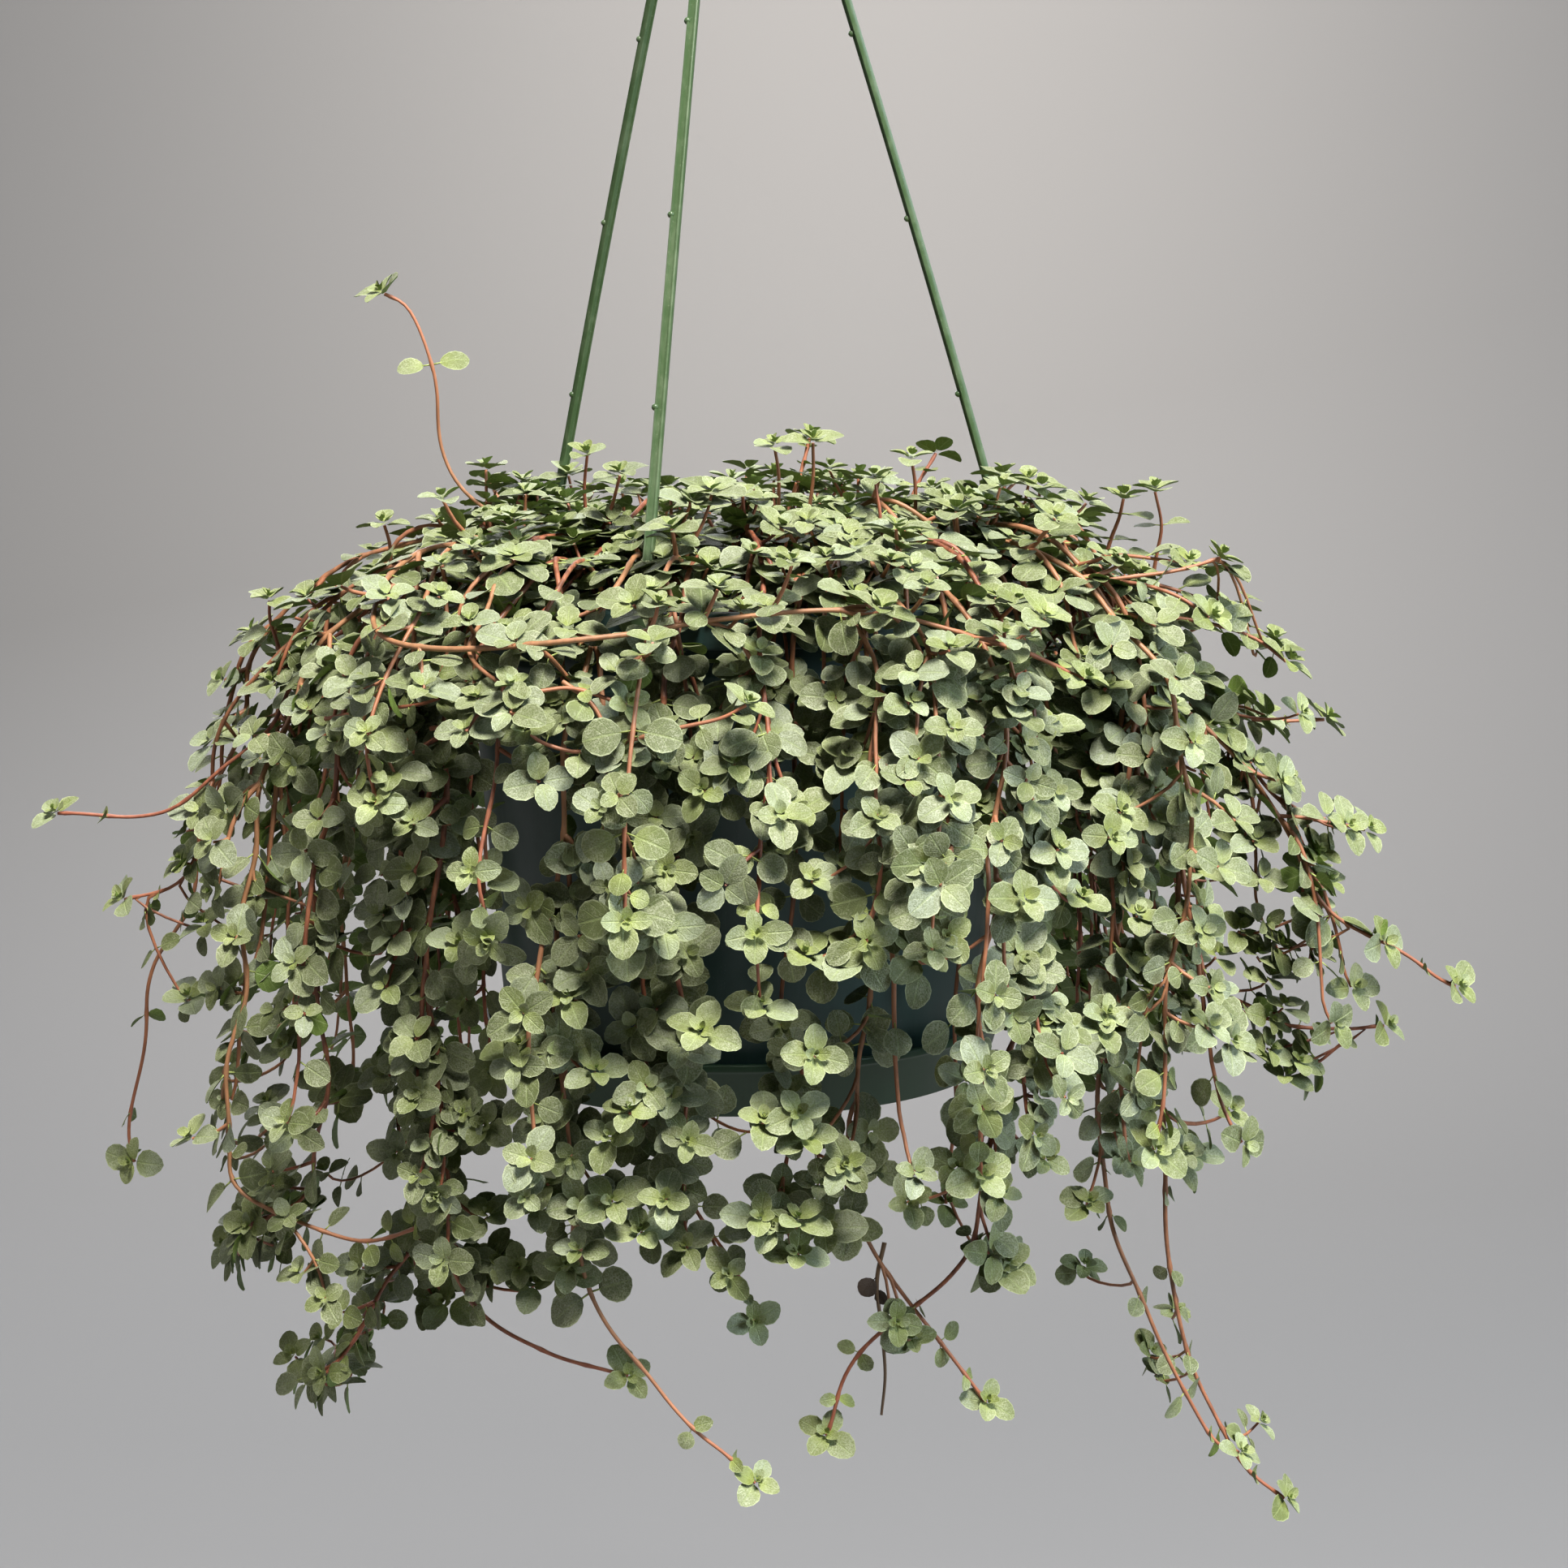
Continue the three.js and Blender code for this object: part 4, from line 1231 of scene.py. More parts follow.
growth = {
    "seed": 911,
    "lineStep": 2.2,
    "lineSamples": 24,              # points of the smooth line between two places of a route
    "wander": 0.5,                  # how far a stem strays from its smooth line
    "wanderWave": (28, 80),
    "wanderFade": 30.0,
    "internode": 14.5,
    "tipInternode": 2.2,
    "gapGrowth": 1.55,              # each gap between leaf pairs beside the last, from the tip back
    "sparseGrowth": 6.4,
    "uneven": (0.85, 1.15),
    "firstPair": 0.8,
    "seenClear": 45.0,              # bare stem below the leaf pairs that the picture shows
    "rootClear": 14.0,
    "tipClear": 3.0,
    "leaf": (8.8, 12.2),
    "leafTip": 3.4,
    "leafGrowth": 0.38,             # leaf length gained per mm back from the tip
    "seenLeaf": 1.2,
    "budLeaf": 3.2,                 # leaves shorter than this are buds, and shorter than the next are young
    "youngLeaf": 5.6,
    "greenLeaf": 32.0,              # how far back from the tip leaves, and stems, are still fresh
    "greenStem": 60.0,
    "tones": (0.60, 0.37, 0.25),    # how silvery: in a rosette, along a stem, and how much that varies
    "shootsFrom": 16.0,
    "shootChance": 0.54,
    "shootLength": (3.0, 14.0),
    "freeShoots": (0.45, 0.5),      # chance and length of the shoots where a vine hangs free
    "branchesFrom": 35.0,
    "branchChance": 0.35,
    "branchLength": (26.0, 84.0),
    "backBranches": 0.75,           # chance of a branch at each node on the far side
    "farSide": 10.0,
    "crownShoots": 5,
    "crownLength": (9.0, 24.0),
    "freeLeaf": 0.70,               # size of the leaves where a vine hangs free
    "stemBase": 0.70,
    "stemTip": 0.47,
    "stemTaper": 150.0,
    "nodeSwell": 0.30,
    "leafNoise": 0.26,
    "endRosette": (7.5, 10.0),
    "placedReach": 20.0,            # how far a placed rosette stands from its vine
    "placedSpacing": 9.0,
    "reachCost": 0.3,               # a far vine, one that passes below, and one with many already are worse
    "belowCost": 1.5,
    "belowRoom": 4.0,
    "crowding": 1.5,
    "placedLeaf": 0.97,             # leaf size of a placed rosette beside what was measured
    "twigStep": 3.2,
    "twigSpacing": 7.0,
    "curtain": (-54.0, -2.0),       # between these heights more shoots hide the pot
    "curtainLength": (7.0, 17.0),
    "backMargin": 4.0,              # leaves start at least this far inside the back of the solids' box
}

# rosettes seen in the picture: how far right of the axis, how high over the rim, and the leaf length
placedRosettes = [
    # over the pot and below it, in front
    (-32, -42, 9), (-7, -38, 9), (28, -32, 12), (15, -43, 8.5), (11, -51, 7.5), (18, -59, 7.5),
    (33, -58, 9.5), (-26, -72, 11.5), (-17, -70, 11), (-16, -56, 9), (16, -77, 10.5), (28, -77, 11.5),
    (43, -79, 11.5), (61, -87, 8.5), (70, -83, 9), (58, -44, 8.5), (72, -48, 9), (-8, -95, 10.5),
    (-52, -101, 10), (18, -101, 10), (-34, -106, 9), (-26, -116, 9), (14, -116, 8.5), (-12, -123, 8),
    (-31, -140, 10), (-49, -138, 9), (64, -144, 9), (76, -137, 8.5), (26, -130, 8), (0, -32, 9.5),
    (6, -89, 9), (-40, -88, 9), (47, -63, 8.5), (55, -111, 8.5), (8, -146, 9), (14, -154, 9),
    (6, -118, 8.5), (16, -123, 9), (41, -142, 8.5), (53, -135, 9), (67, -166, 9.5),
    # left
    (-147, -70, 8.5), (-142, -87, 8.5), (-132, -90, 10), (-147, -107, 9.5), (-137, -125, 8),
    (-131, -167, 9.5), (-125, -174, 8), (-122, -206, 9), (-107, -208, 9.5), (-114, -201, 8),
    (-77, -181, 11), (-100, -185, 9), (-90, -177, 8.5), (-67, -165, 8), (-60, -163, 10), (-52, -167, 9.5),
    (-103, -126, 11.5), (-107, -77, 8), (-87, -81, 9.5), (-89, -50, 10.5), (-66, -77, 10.5),
    (-59, -60, 9.5), (-53, -102, 10), (-67, -121, 8.5), (-71, -132, 8.5), (-47, -137, 8.5), (-112, -155, 8),
    (-43, -162, 9), (-60, -18, 7.5), (-49, -25, 8), (-68, -47, 8), (-125, -76, 9), (-120, -109, 9.5),
    (-127, -136, 8.5), (-78, -105, 9), (-135, -169, 10), (-139, -175, 9), (-127, -160, 10), (-117, -165, 9),
    (-122, -120, 9), (-112, -131, 9), (-127, -140, 8), (-62, -123, 9), (-31, -123, 9.5), (-63, -149, 9),
    (-50, -144, 9), (-24, -148, 9), (-18, -139, 9), (-105, -203, 9.5), (-98, -190, 8.5), (-80, -181, 9.5),
    (-89, -170, 9), (-43, -160, 9), (-55, -162, 9.5),
    # right
    (75, -28, 10.5), (92, -21, 9.5), (74, -50, 9.5), (95, -51, 9.5), (104, -48, 9), (120, -75, 10.5),
    (125, -36, 11), (131, -68, 8.5), (92, -56, 9), (73, -99, 9), (103, -89, 9.5), (90, -104, 10),
    (118, -114, 10), (132, -91, 9.5), (142, -95, 9), (155, -78, 9), (150, -84, 10), (152, -70, 9),
    (144, -51, 8.5), (152, -98, 8.5), (140, -104, 9), (135, -124, 9.5), (145, -131, 8), (100, -143, 10.5),
    (120, -152, 10), (106, -129, 9), (130, -140, 7.5), (140, -115, 8.5), (84, -70, 9), (136, -16, 9),
    (125, -7, 9), (140, -123, 9), (148, -127, 9), (137, -98, 9), (144, -112, 9), (160, -63, 9),
    (147, -33, 8.5), (140, -14, 9), (126, -98, 9.5), (116, -111, 9), (100, -78, 9.5), (91, -101, 9),
    # low, where the vines hang free
    (14, -145, 10.5), (5, -144, 9.5), (25, -131, 8), (-3, -159, 7.5), (65, -167, 10), (89, -156, 9),
    (91, -182, 8), (38, -176, 8.5), (42, -183, 7.5), (109, -207, 7.5), (111, -213, 6.5), (116, -196, 7),
    (139, -227, 6.5),
]

# how far from the axis the outermost leaves hang, by height over the rim
shellOutline = ((-240, 60), (-200, 84), (-180, 96), (-150, 108), (-100, 121), (-60, 122), (-25, 114),
                (0, 104))
shellFront = 24.0               # a rosette at the side stands at least this far in front of the axis

# where the foliage hangs, stands clear, or is hidden by the pot; heights are over the rim
moundShape = {
    "hangFrom": 10.0,           # a vine starts to hang at this height, and hangs fully after this drop
    "hangDrop": 52.0,
    "hangInner": 20.0,          # and so it does from this radius on, fully after this span
    "hangSpan": 50.0,
    "raisedFrom": 42.0,
    "raisedSpan": 12.0,
    "hiddenBehind": 25.0,
    "hiddenHeights": (-135.0, -8.0),
    "potDepth": 132.0,
}

# an opposite pair of leaves: how flat it lies, how far it leans along the stem and droops
pairForm = {"flat": 0.7, "forward": 0.25, "droop": -0.12, "noise": 0.6, "uneven": (0.84, 1.08)}

# a rosette's pairs, from the outermost in: how upright they stand, and how long their leaves are
rosetteForm = {"upright": (0.12, 0.30, 0.75, 1.5), "lengths": (1.0, 0.76, 0.42, 0.24), "rise": 0.6,
               "noise": 0.12, "uneven": (0.86, 1.1)}

# a short side shoot, a longer branch that droops beside its vine, a shoot that hangs before the pot, and
# one that rises in the crown
shootForm = {"sag": 0.0, "light": 0.20, "spacing": 5.5, "leaf": (7.5, 10.2), "sideChance": 0.0,
             "rosette": (6.6, 10.4), "pairs": (2, 3, 3), "bare": 4.5}
branchForm = {"sag": 0.30, "light": 0.02, "spacing": 12.0, "leaf": (8.5, 12.2), "sideChance": 0.50,
              "rosette": (7.0, 10.8), "pairs": (3, 3, 4), "bare": 6.0}
curtainForm = {"sag": 0.16, "light": 0.02, "spacing": 5.5, "leaf": (9.0, 12.5), "sideChance": 0.0,
               "rosette": (7.0, 10.5), "pairs": (2, 3), "bare": 3.0}
crownForm = {"sag": -0.04, "light": 0.06, "spacing": 7.5, "leaf": (7.5, 10.8), "sideChance": 0.40,
             "rosette": (6.8, 10.4), "pairs": (3, 3, 4), "bare": 3.5}

# vines with long bare internodes where they hang free, and how many times longer those are
sparseVines = {0: 2.3, 1: 1.9, 2: 1.4, 3: 2.3, 7: 1.5, 8: 1.5, 10: 1.5, 11: 1.4, 12: 1.7, 13: 1.6, 14: 1.7,
               15: 1.5, 16: 1.6, 17: 1.6, 18: 1.6, 19: 2.0, 20: 1.8}
# vines that cross the mound: they are also bare in front of this y and left of this x
crossingVines = {0: (99, 999), 19: (-101, -8), 20: (-101, 999)}

# how far from the pot's axis a vine counts as hanging free, and how far under the rim
freeBeyond = {1: 120, 2: 120, 3: 136, 14: 152, 15: 134, 16: 138, 17: 142, 18: 90}
freeBelow = {3: -150, 4: -165, 5: -210, 6: -165, 7: -172, 8: -165, 9: -150}
freeElsewhere = {"beyond": 152, "below": -140, "above": 30}

# where the foliage is open in the picture: left, top, right and bottom in its pixels, and the share of
# leaf pairs and twigs left out
openPatches = {
    "leftWall": (600, 900, 646, 1210, 0.92),
    "saucerEdge": (1010, 1310, 1160, 1390, 0.85),
    "rightWall": (1170, 1070, 1240, 1190, 0.75),
    "lowMiddle": (860, 1400, 1200, 1600, 0.50),
    "lowLeft": (240, 1290, 350, 1450, 0.35),
    "underLeft": (620, 1530, 790, 1700, 0.60),
    "farRight": (1640, 1080, 1710, 1400, 0.25),
    "underRight": (1350, 1470, 1430, 1600, 0.50),
    "farShoulder": (300, 640, 420, 725, 0.85),
    "leftShoulder": (420, 560, 500, 672, 0.90),
    "nearShoulder": (500, 560, 590, 640, 0.90),
    "leftEdge": (190, 850, 290, 1040, 0.45),
    "middleTop": (840, 500, 930, 575, 0.80),
}

# twigs seen in the picture in front of the vines, and shoots that stand up from the mound: the places
# along the stem, and the leaf length
frontTwigs = {
    "downBranch": ([(-40, -114, -12), (-33, -117, -17), (-29, -119, -25), (-27, -120, -29)], 8.5),
    "tanStem": ([(-23, -30, 25), (-32, -48, 16), (-39, -62, 9), (-47, -78, 1), (-52, -84, -3)], 9.0),
    "leftLow": ([(-101, -78, -25), (-89, -86, -22), (-77, -92, -20), (-71, -95, -18)], 8.0),
    "leftMiddle": ([(-73, -98, -25), (-61, -104, -22), (-50, -108, -20), (-46, -109, -18)], 7.5),
    "middleLow": ([(-24, -121, -25), (-12, -122, -22), (-3, -122, -20), (3, -122, -17)], 7.0),
    "brightTip": ([(-28, -119, -26), (-36, -119, -28), (-44, -119, -26), (-48, -120, -23)], 8.0),
    "leftFall": ([(-78, -96, -27), (-81, -97, -30), (-86, -96, -37), (-88, -95, -44)], 8.5),
    "upMiddle": ([(18, -16, 14), (19, -19, 22), (20, -21, 30), (20, -23, 39)], 8.5),
    "upRight": ([(47, -8, 12), (47, -10, 18), (47, -12, 27), (46, -13, 34)], 8.0),
    "upLeft": ([(-41, -12, 12), (-40, -14, 20), (-40, -16, 28), (-39, -18, 36)], 8.0),
    "upFarRight": ([(110, -8, 0), (111, -10, 8), (112, -12, 16), (110, -14, 25)], 9.0),
    "upNearLeft": ([(-92, -8, 2), (-92, -10, 7), (-92, -12, 13), (-93, -14, 18)], 8.0),
    "upFarLeft": ([(-121, -16, -16), (-122, -18, -11), (-123, -20, -6), (-123, -20, -1)], 8.0),
    "upMiddleLeft": ([(12, -16, 14), (11, -19, 22), (11, -21, 31), (10, -22, 38)], 8.0),
    "upFarRightLow": ([(97, -6, 4), (99, -8, 12), (101, -10, 18), (102, -11, 23)], 9.5),
    "upBackRight": ([(76, 6, 10), (77, 4, 20), (78, 2, 27)], 8.5),
    "rightLevel": ([(92, -18, 8), (100, -22, 9), (110, -24, 8), (117, -25, 7)], 9.5),
    "rightSlope": ([(98, -24, 3), (108, -28, 2), (118, -30, -1), (126, -31, -5)], 9.0),
    "rightFall": ([(108, -30, -6), (122, -32, -8), (134, -33, -12), (142, -34, -18)], 9.0),
    "rightNear": ([(92, -36, 4), (104, -42, 3), (113, -46, 0), (120, -48, -5)], 9.5),
}


# short rooted shoots that hide the soil in the middle, spread like seeds in a head
centreShoots = {
    "count": 26,
    "turn": 137.5,              # degrees from one shoot to the next
    "leanTurn": 222.5,
    "tallTurn": 0.618,
    "spread": 6.6,
    "middle": (3.0, 8.0, 0.0),
    "rootH": -13.5,
    "height": (17.0, 29.0),
    "lean": 5.0,
    "leaf": 9.5,
}

# a dead, brown side twig with two shrivelled leaves, as older plants keep
dryTwig = {
    "vine": 11,
    "places": [(36, -76, -160), (34, -77, -170), (35, -78, -181), (36, -77, -194), (35, -77, -205)],
    "radii": (0.6, 0.35),
    "leaves": ((5, (-0.5, -0.3, -0.5), (0.2, -1, 0.6), 6.5), (7, (0.5, -0.2, -0.8), (-0.4, -1, 0.1), 4.5)),
}

# how far back from a vine's tip the picture shows its leaf pairs
seenNodes = {0: (1.5, 21.5)}
bareVines = (3, 29, 30)         # these take no placed rosettes

# the values that every point of a vine carries, in the order of its row
pointRows = (("stemRadius", "FLOAT"), ("leafTurn", "FLOAT_VECTOR"), ("leafSize", "FLOAT"),
             ("leafKind", "INT"), ("youth", "FLOAT"), ("tone", "FLOAT"), ("isLeaf", "BOOLEAN"),
             ("dry", "FLOAT"))


class Vine:
    # one vine's stem lines and leaf places, each point with its row of values

    def __init__(self, index):
        self.points = []
        self.edges = []
        self.rows = []
        self.leafCount = 0
        self.chance = random.Random(growth["seed"] * 1000 + index)
        self.tone = self.chance.random()

    def addPoint(self, place, radius=0.0, turn=(0, 0, 0), size=0.0, kind=0, youth=0.0, tone=0.5,
                 leaf=False, dry=0.0):
        self.points.append(tuple(Vector(place) * mm))
        self.rows.append((radius * mm, turn, size * mm, kind, youth, tone, leaf, dry))
        return len(self.points) - 1

    def addStem(self, line, radii, youths, dry=0.0):
        before = None
        for place, radius, youth in zip(line, radii, youths):
            here = self.addPoint(place, radius, youth=youth, tone=self.tone, dry=dry)
            if before is not None:
                self.edges.append((before, here))
            before = here

    def chooseKind(self, size, sessile):
        # the number of a leaf shape
        if size < growth["budLeaf"]:
            return 7
        if size < growth["youngLeaf"]:
            return 6
        if sessile:
            return self.chance.choice((4, 4, 5))
        return self.chance.choices((0, 1, 2, 3), (3, 2.4, 2.6, 2))[0]

    def addLeaf(self, place, along, normal, size, youth, sessile=False, dry=0.0):
        along = along.normalized()
        side = normal.cross(along)
        if side.length < 1e-3:
            side = along.orthogonal()
        side.normalize()
        turn = Matrix((along, side, along.cross(side))).transposed().to_euler()
        kind = self.chooseKind(size, sessile)
        inRosette, onStem, spread = growth["tones"]
        tone = clamp(self.chance.gauss(inRosette if sessile else onStem, spread))
        self.addPoint(place, 0.0, tuple(turn), size, kind, youth, tone, True, dry)
        self.leafCount += 1

    def jitter(self, size):
        return Vector([self.chance.gauss(0, size) for _ in range(3)])


def hangingShare(place):
    # 0 on top of the mound, 1 where the vines hang down beside the pot
    s = moundShape
    dropped = clamp((s["hangFrom"] - heightOf(place)) / s["hangDrop"])
    return dropped * clamp((place.xy.length - s["hangInner"]) / s["hangSpan"])


def raisedShare(place):
    # 0 on the mound, 1 for the shoots that stand clear over it
    return clamp((heightOf(place) - moundShape["raisedFrom"]) / moundShape["raisedSpan"])


def outFrom(place):
    # the way straight out from the pot's axis, or next to nothing on the axis itself
    out = Vector((place.x, place.y, 0))
    if out.length > 1e-3:
        out.normalize()
    return out


def tangentAt(line, i):
    return (line[i + 1] - line[i - 1]).normalized()


def facing(place):
    # the way that leaves turn: up on the mound, out and up where the vine hangs
    hanging = hangingShare(place)
    tilt = Vector((0, -0.7 * raisedShare(place), mix(1.0, 0.42, hanging)))
    return (outFrom(place) * mix(0.06, 1.0, hanging) + tilt).normalized()


def openTo(vine, place):
    # a rosette opens outwards and to the light in front, and more or less upwards
    front = clamp((30 - place.y) / 60)
    hanging = hangingShare(place)
    aside = max(mix(0.28, 1.0, hanging), raisedShare(place))
    up = vine.chance.uniform(0.3, 1.7) + 0.5 * (1 - hanging)
    light = Vector((0.05, -0.6 * front * aside, up))
    return (outFrom(place) * 0.5 * aside + light + vine.jitter(0.16)).normalized()


def isThinned(vine, place):
    # whether leaves at this place are left out, so that the foliage is as open as in the picture
    if place.y > cadBox[1][1] / mm - growth["backMargin"]:
        return True
    low, high = moundShape["hiddenHeights"]
    if place.y > moundShape["hiddenBehind"] and low < heightOf(place) < high:
        return False
    across, down = seenAt(place)
    for left, top, right, bottom, share in openPatches.values():
        if left < across < right and top < down < bottom and vine.chance.random() < share:
            return True
    return False


def insidePot(place, room=3.0):
    lowest = -moundShape["potDepth"] - room
    return place.xy.length < rimRadius + room and lowest < heightOf(place) < 1


def squareTo(direction, tangent):
    flat = direction - tangent * direction.dot(tangent)
    if flat.length < 1e-3:
        flat = tangent.orthogonal()
    return flat.normalized()


def addRosette(vine, place, axis, size, pairs, youth):
    # crossed pairs of leaves, each smaller and more upright than the last, round a tiny bud
    s = rosetteForm
    chance = vine.chance
    first = squareTo(Vector((chance.gauss(0, 1), chance.gauss(0, 1), chance.gauss(0, 0.4))), axis)
    for level in range(pairs):
        direction = first if level % 2 == 0 else axis.cross(first)
        upright = s["upright"][level]
        length = size * s["lengths"][level]
        for sign in (1, -1):
            along = direction * sign + axis * upright + vine.jitter(s["noise"])
            normal = axis - direction * sign * upright * 0.6 + vine.jitter(s["noise"])
            vine.addLeaf(place + axis * s["rise"] * level, along, normal,
                         length * chance.uniform(*s["uneven"]), clamp(youth * 0.5 + 0.25 * level), True)


def addNodeLeaves(vine, place, tangent, order, size, youth):
    # an opposite pair, square to the pair before it
    if isThinned(vine, place):
        return
    s = pairForm
    want = facing(place)
    level = tangent.cross(Vector((0, 0, 1)))
    if level.length < 0.25:
        level = Vector((-place.y, place.x, 0))
    level = squareTo(level, tangent)
    direction = level if order % 2 == 0 else tangent.cross(level).normalized()
    for sign in (1, -1):
        away = direction * sign
        away = away - want * away.dot(want) * s["flat"]
        lean = tangent * s["forward"] + Vector((0, 0, s["droop"]))
        away += lean + vine.jitter(growth["leafNoise"] * s["noise"])
        length = size * vine.chance.uniform(*s["uneven"])
        if not insidePot(place + away.normalized() * length, 1.0):
            vine.addLeaf(place, away, want + vine.jitter(growth["leafNoise"]), length, youth)


def growTwig(vine, start, heading, length, radius, youth, form):
    # a side shoot: its line bends by its own weight or to the light, and it ends in a rosette
    chance = vine.chance
    steps = max(3, int(length / growth["twigStep"]))
    line = [start.copy()]
    direction = heading.normalized()
    for i in range(steps):
        late = clamp((i / steps - 0.7) / 0.3)       # its last part turns to the light
        pull = Vector((0, 0, -form["sag"] * (1 - late))) + facing(line[-1]) * (form["light"] + 0.2 * late)
        direction = (direction + pull + vine.jitter(0.06)).normalized()
        step = line[-1] + direction * (length / steps)
        if insidePot(step):
            step += outFrom(step) * 3
        line.append(step)
    if isThinned(vine, line[-1]):
        return
    vine.addStem(line, graded(radius * 0.82, radius * 0.52, steps),
                 [clamp(youth + 0.3 * i / steps) for i in range(steps + 1)])
    travelled, order = form["bare"], 0
    while travelled < length - 0.7 * form["spacing"]:
        at = clamp(int(round(travelled * steps / length)), 1, steps - 1)
        tangent = tangentAt(line, at)
        size = chance.uniform(*form["leaf"]) * mix(0.75, 1.0, clamp((length - travelled) / 20))
        addNodeLeaves(vine, line[at], tangent, order, size, youth * 0.5)
        if chance.random() < form["sideChance"]:
            side = squareTo(vine.jitter(1) + facing(line[at]), tangent)
            growTwig(vine, line[at], side + tangent * 0.4, chance.uniform(2.5, 7), radius * 0.8, youth,
                     shootForm)
        travelled += form["spacing"] * chance.uniform(*growth["uneven"])
        order += 1
    axis = (direction * 0.35 + openTo(vine, line[-1])).normalized()
    addRosette(vine, line[-1], axis, chance.uniform(*form["rosette"]), chance.choice(form["pairs"]), youth)


def reachCost(place, goal):
    # how badly a place on a vine suits a side shoot to the goal
    apart = (goal - place).length
    below = max(0.0, goal.z - place.z + growth["belowRoom"])
    return abs(apart - growth["placedReach"]) + growth["belowCost"] * below + growth["reachCost"] * apart


def growToRosette(vine, line, radii, goal, size):
    # a side shoot whose rosette stands at a place seen in the picture
    at = min(range(2, len(line) - 2), key=lambda i: reachCost(line[i], goal))
    start, tangent = line[at], tangentAt(line, at)
    axis = openTo(vine, goal)
    span = (goal - start).length
    away = start + (tangent * 0.8 + facing(start) * 0.3) * span * 0.4
    near = goal - axis * span * 0.3
    steps = max(4, int(span / 3))
    path = []
    for i in range(steps + 1):
        t = i / steps
        path.append(start * (1 - t) ** 3 + away * 3 * t * (1 - t) ** 2
                    + near * 3 * t * t * (1 - t) + goal * t ** 3)
    vine.addStem(path, graded(radii[at] * 0.85, 0.36, steps), graded(0.1, 0.8, steps))
    travelled, order = 5.0, 0
    while travelled < span - 4:
        i = int(clamp(round(travelled * steps / span), 1, steps - 1))
        leaf = size * vine.chance.uniform(0.9, 1.15)
        addNodeLeaves(vine, path[i], tangentAt(path, i), order, leaf, 0.1)
        travelled += growth["placedSpacing"] * vine.chance.uniform(*growth["uneven"])
        order += 1
    addRosette(vine, goal, axis, size, 4, 0.75)


def growFrontTwig(vine, places, size):
    # a thin side shoot along the places, with small leaf pairs and a rosette at its end
    line = smoothLine([overRim(*place) for place in places], 5)
    last = len(line) - 1
    vine.addStem(line, graded(0.62, 0.42, last), graded(0.25, 0.8, last))
    travelled, order = 0.0, 0
    for i in range(1, last):
        travelled += (line[i] - line[i - 1]).length
        if travelled > growth["twigSpacing"] and i < last - 1:
            leaf = size * vine.chance.uniform(0.9, 1.15)
            addNodeLeaves(vine, line[i], tangentAt(line, i), order, leaf, 0.2)
            travelled, order = 0.0, order + 1
    axis = ((line[-1] - line[-3]).normalized() * 0.4 + openTo(vine, line[-1])).normalized()
    addRosette(vine, line[-1], axis, size, 4, 0.85)


def resample(line, step):
    gaps = np.linalg.norm(np.diff(line, axis=0), axis=1)
    travelled = np.concatenate([[0], np.cumsum(gaps)])
    total = travelled[-1]
    places = np.linspace(0, total, max(2, int(round(total / step)) + 1))
    return np.stack([np.interp(places, travelled, line[:, k]) for k in range(3)], axis=1), total


def wander(vine, line, total):
    # slow waves along the stem, none at the root
    chance = vine.chance
    waves = [(vine.jitter(growth["wander"]), chance.uniform(*growth["wanderWave"]), chance.uniform(0, 6.3))
             for _ in range(3)]
    strayed = []
    for i, place in enumerate(line):
        travelled = total * i / (len(line) - 1)
        shift = Vector((0, 0, 0))
        for size, wavelength, phase in waves:
            shift += size * math.sin(travelled * 2 * math.pi / wavelength + phase)
        strayed.append(Vector(place) + shift * clamp(travelled / growth["wanderFade"]))
    return strayed


def isOutlying(index, place):
    # whether a vine hangs free at this place, or crosses the mound there
    h = heightOf(place)
    beyond = freeBeyond.get(index, freeElsewhere["beyond"])
    below = freeBelow.get(index, freeElsewhere["below"])
    front, right = crossingVines.get(index, (-999, 0))
    crosses = place.y < front and place.x < right
    return crosses or h < below or h > freeElsewhere["above"] or place.xy.length > beyond


def nodeDistances(index, vine, line, total, indexAt):
    # how far back from the tip the leaf pairs stand: those that are seen, then the others by rule
    nodes = list(seenNodes.get(index, ()))
    distance = growth["firstPair"] + (nodes[-1] + growth["seenClear"] if nodes else 0)
    gap = growth["tipInternode"]
    while distance < total - growth["rootClear"]:
        nodes.append(distance)
        distance += gap * vine.chance.uniform(*growth["uneven"])
        stretch = sparseVines.get(index, 1.0) if isOutlying(index, line[indexAt(distance)]) else 1.0
        gap = min(growth["internode"] * stretch,
                  gap * growth["gapGrowth"] + growth["sparseGrowth"] * (stretch - 1))
    return nodes


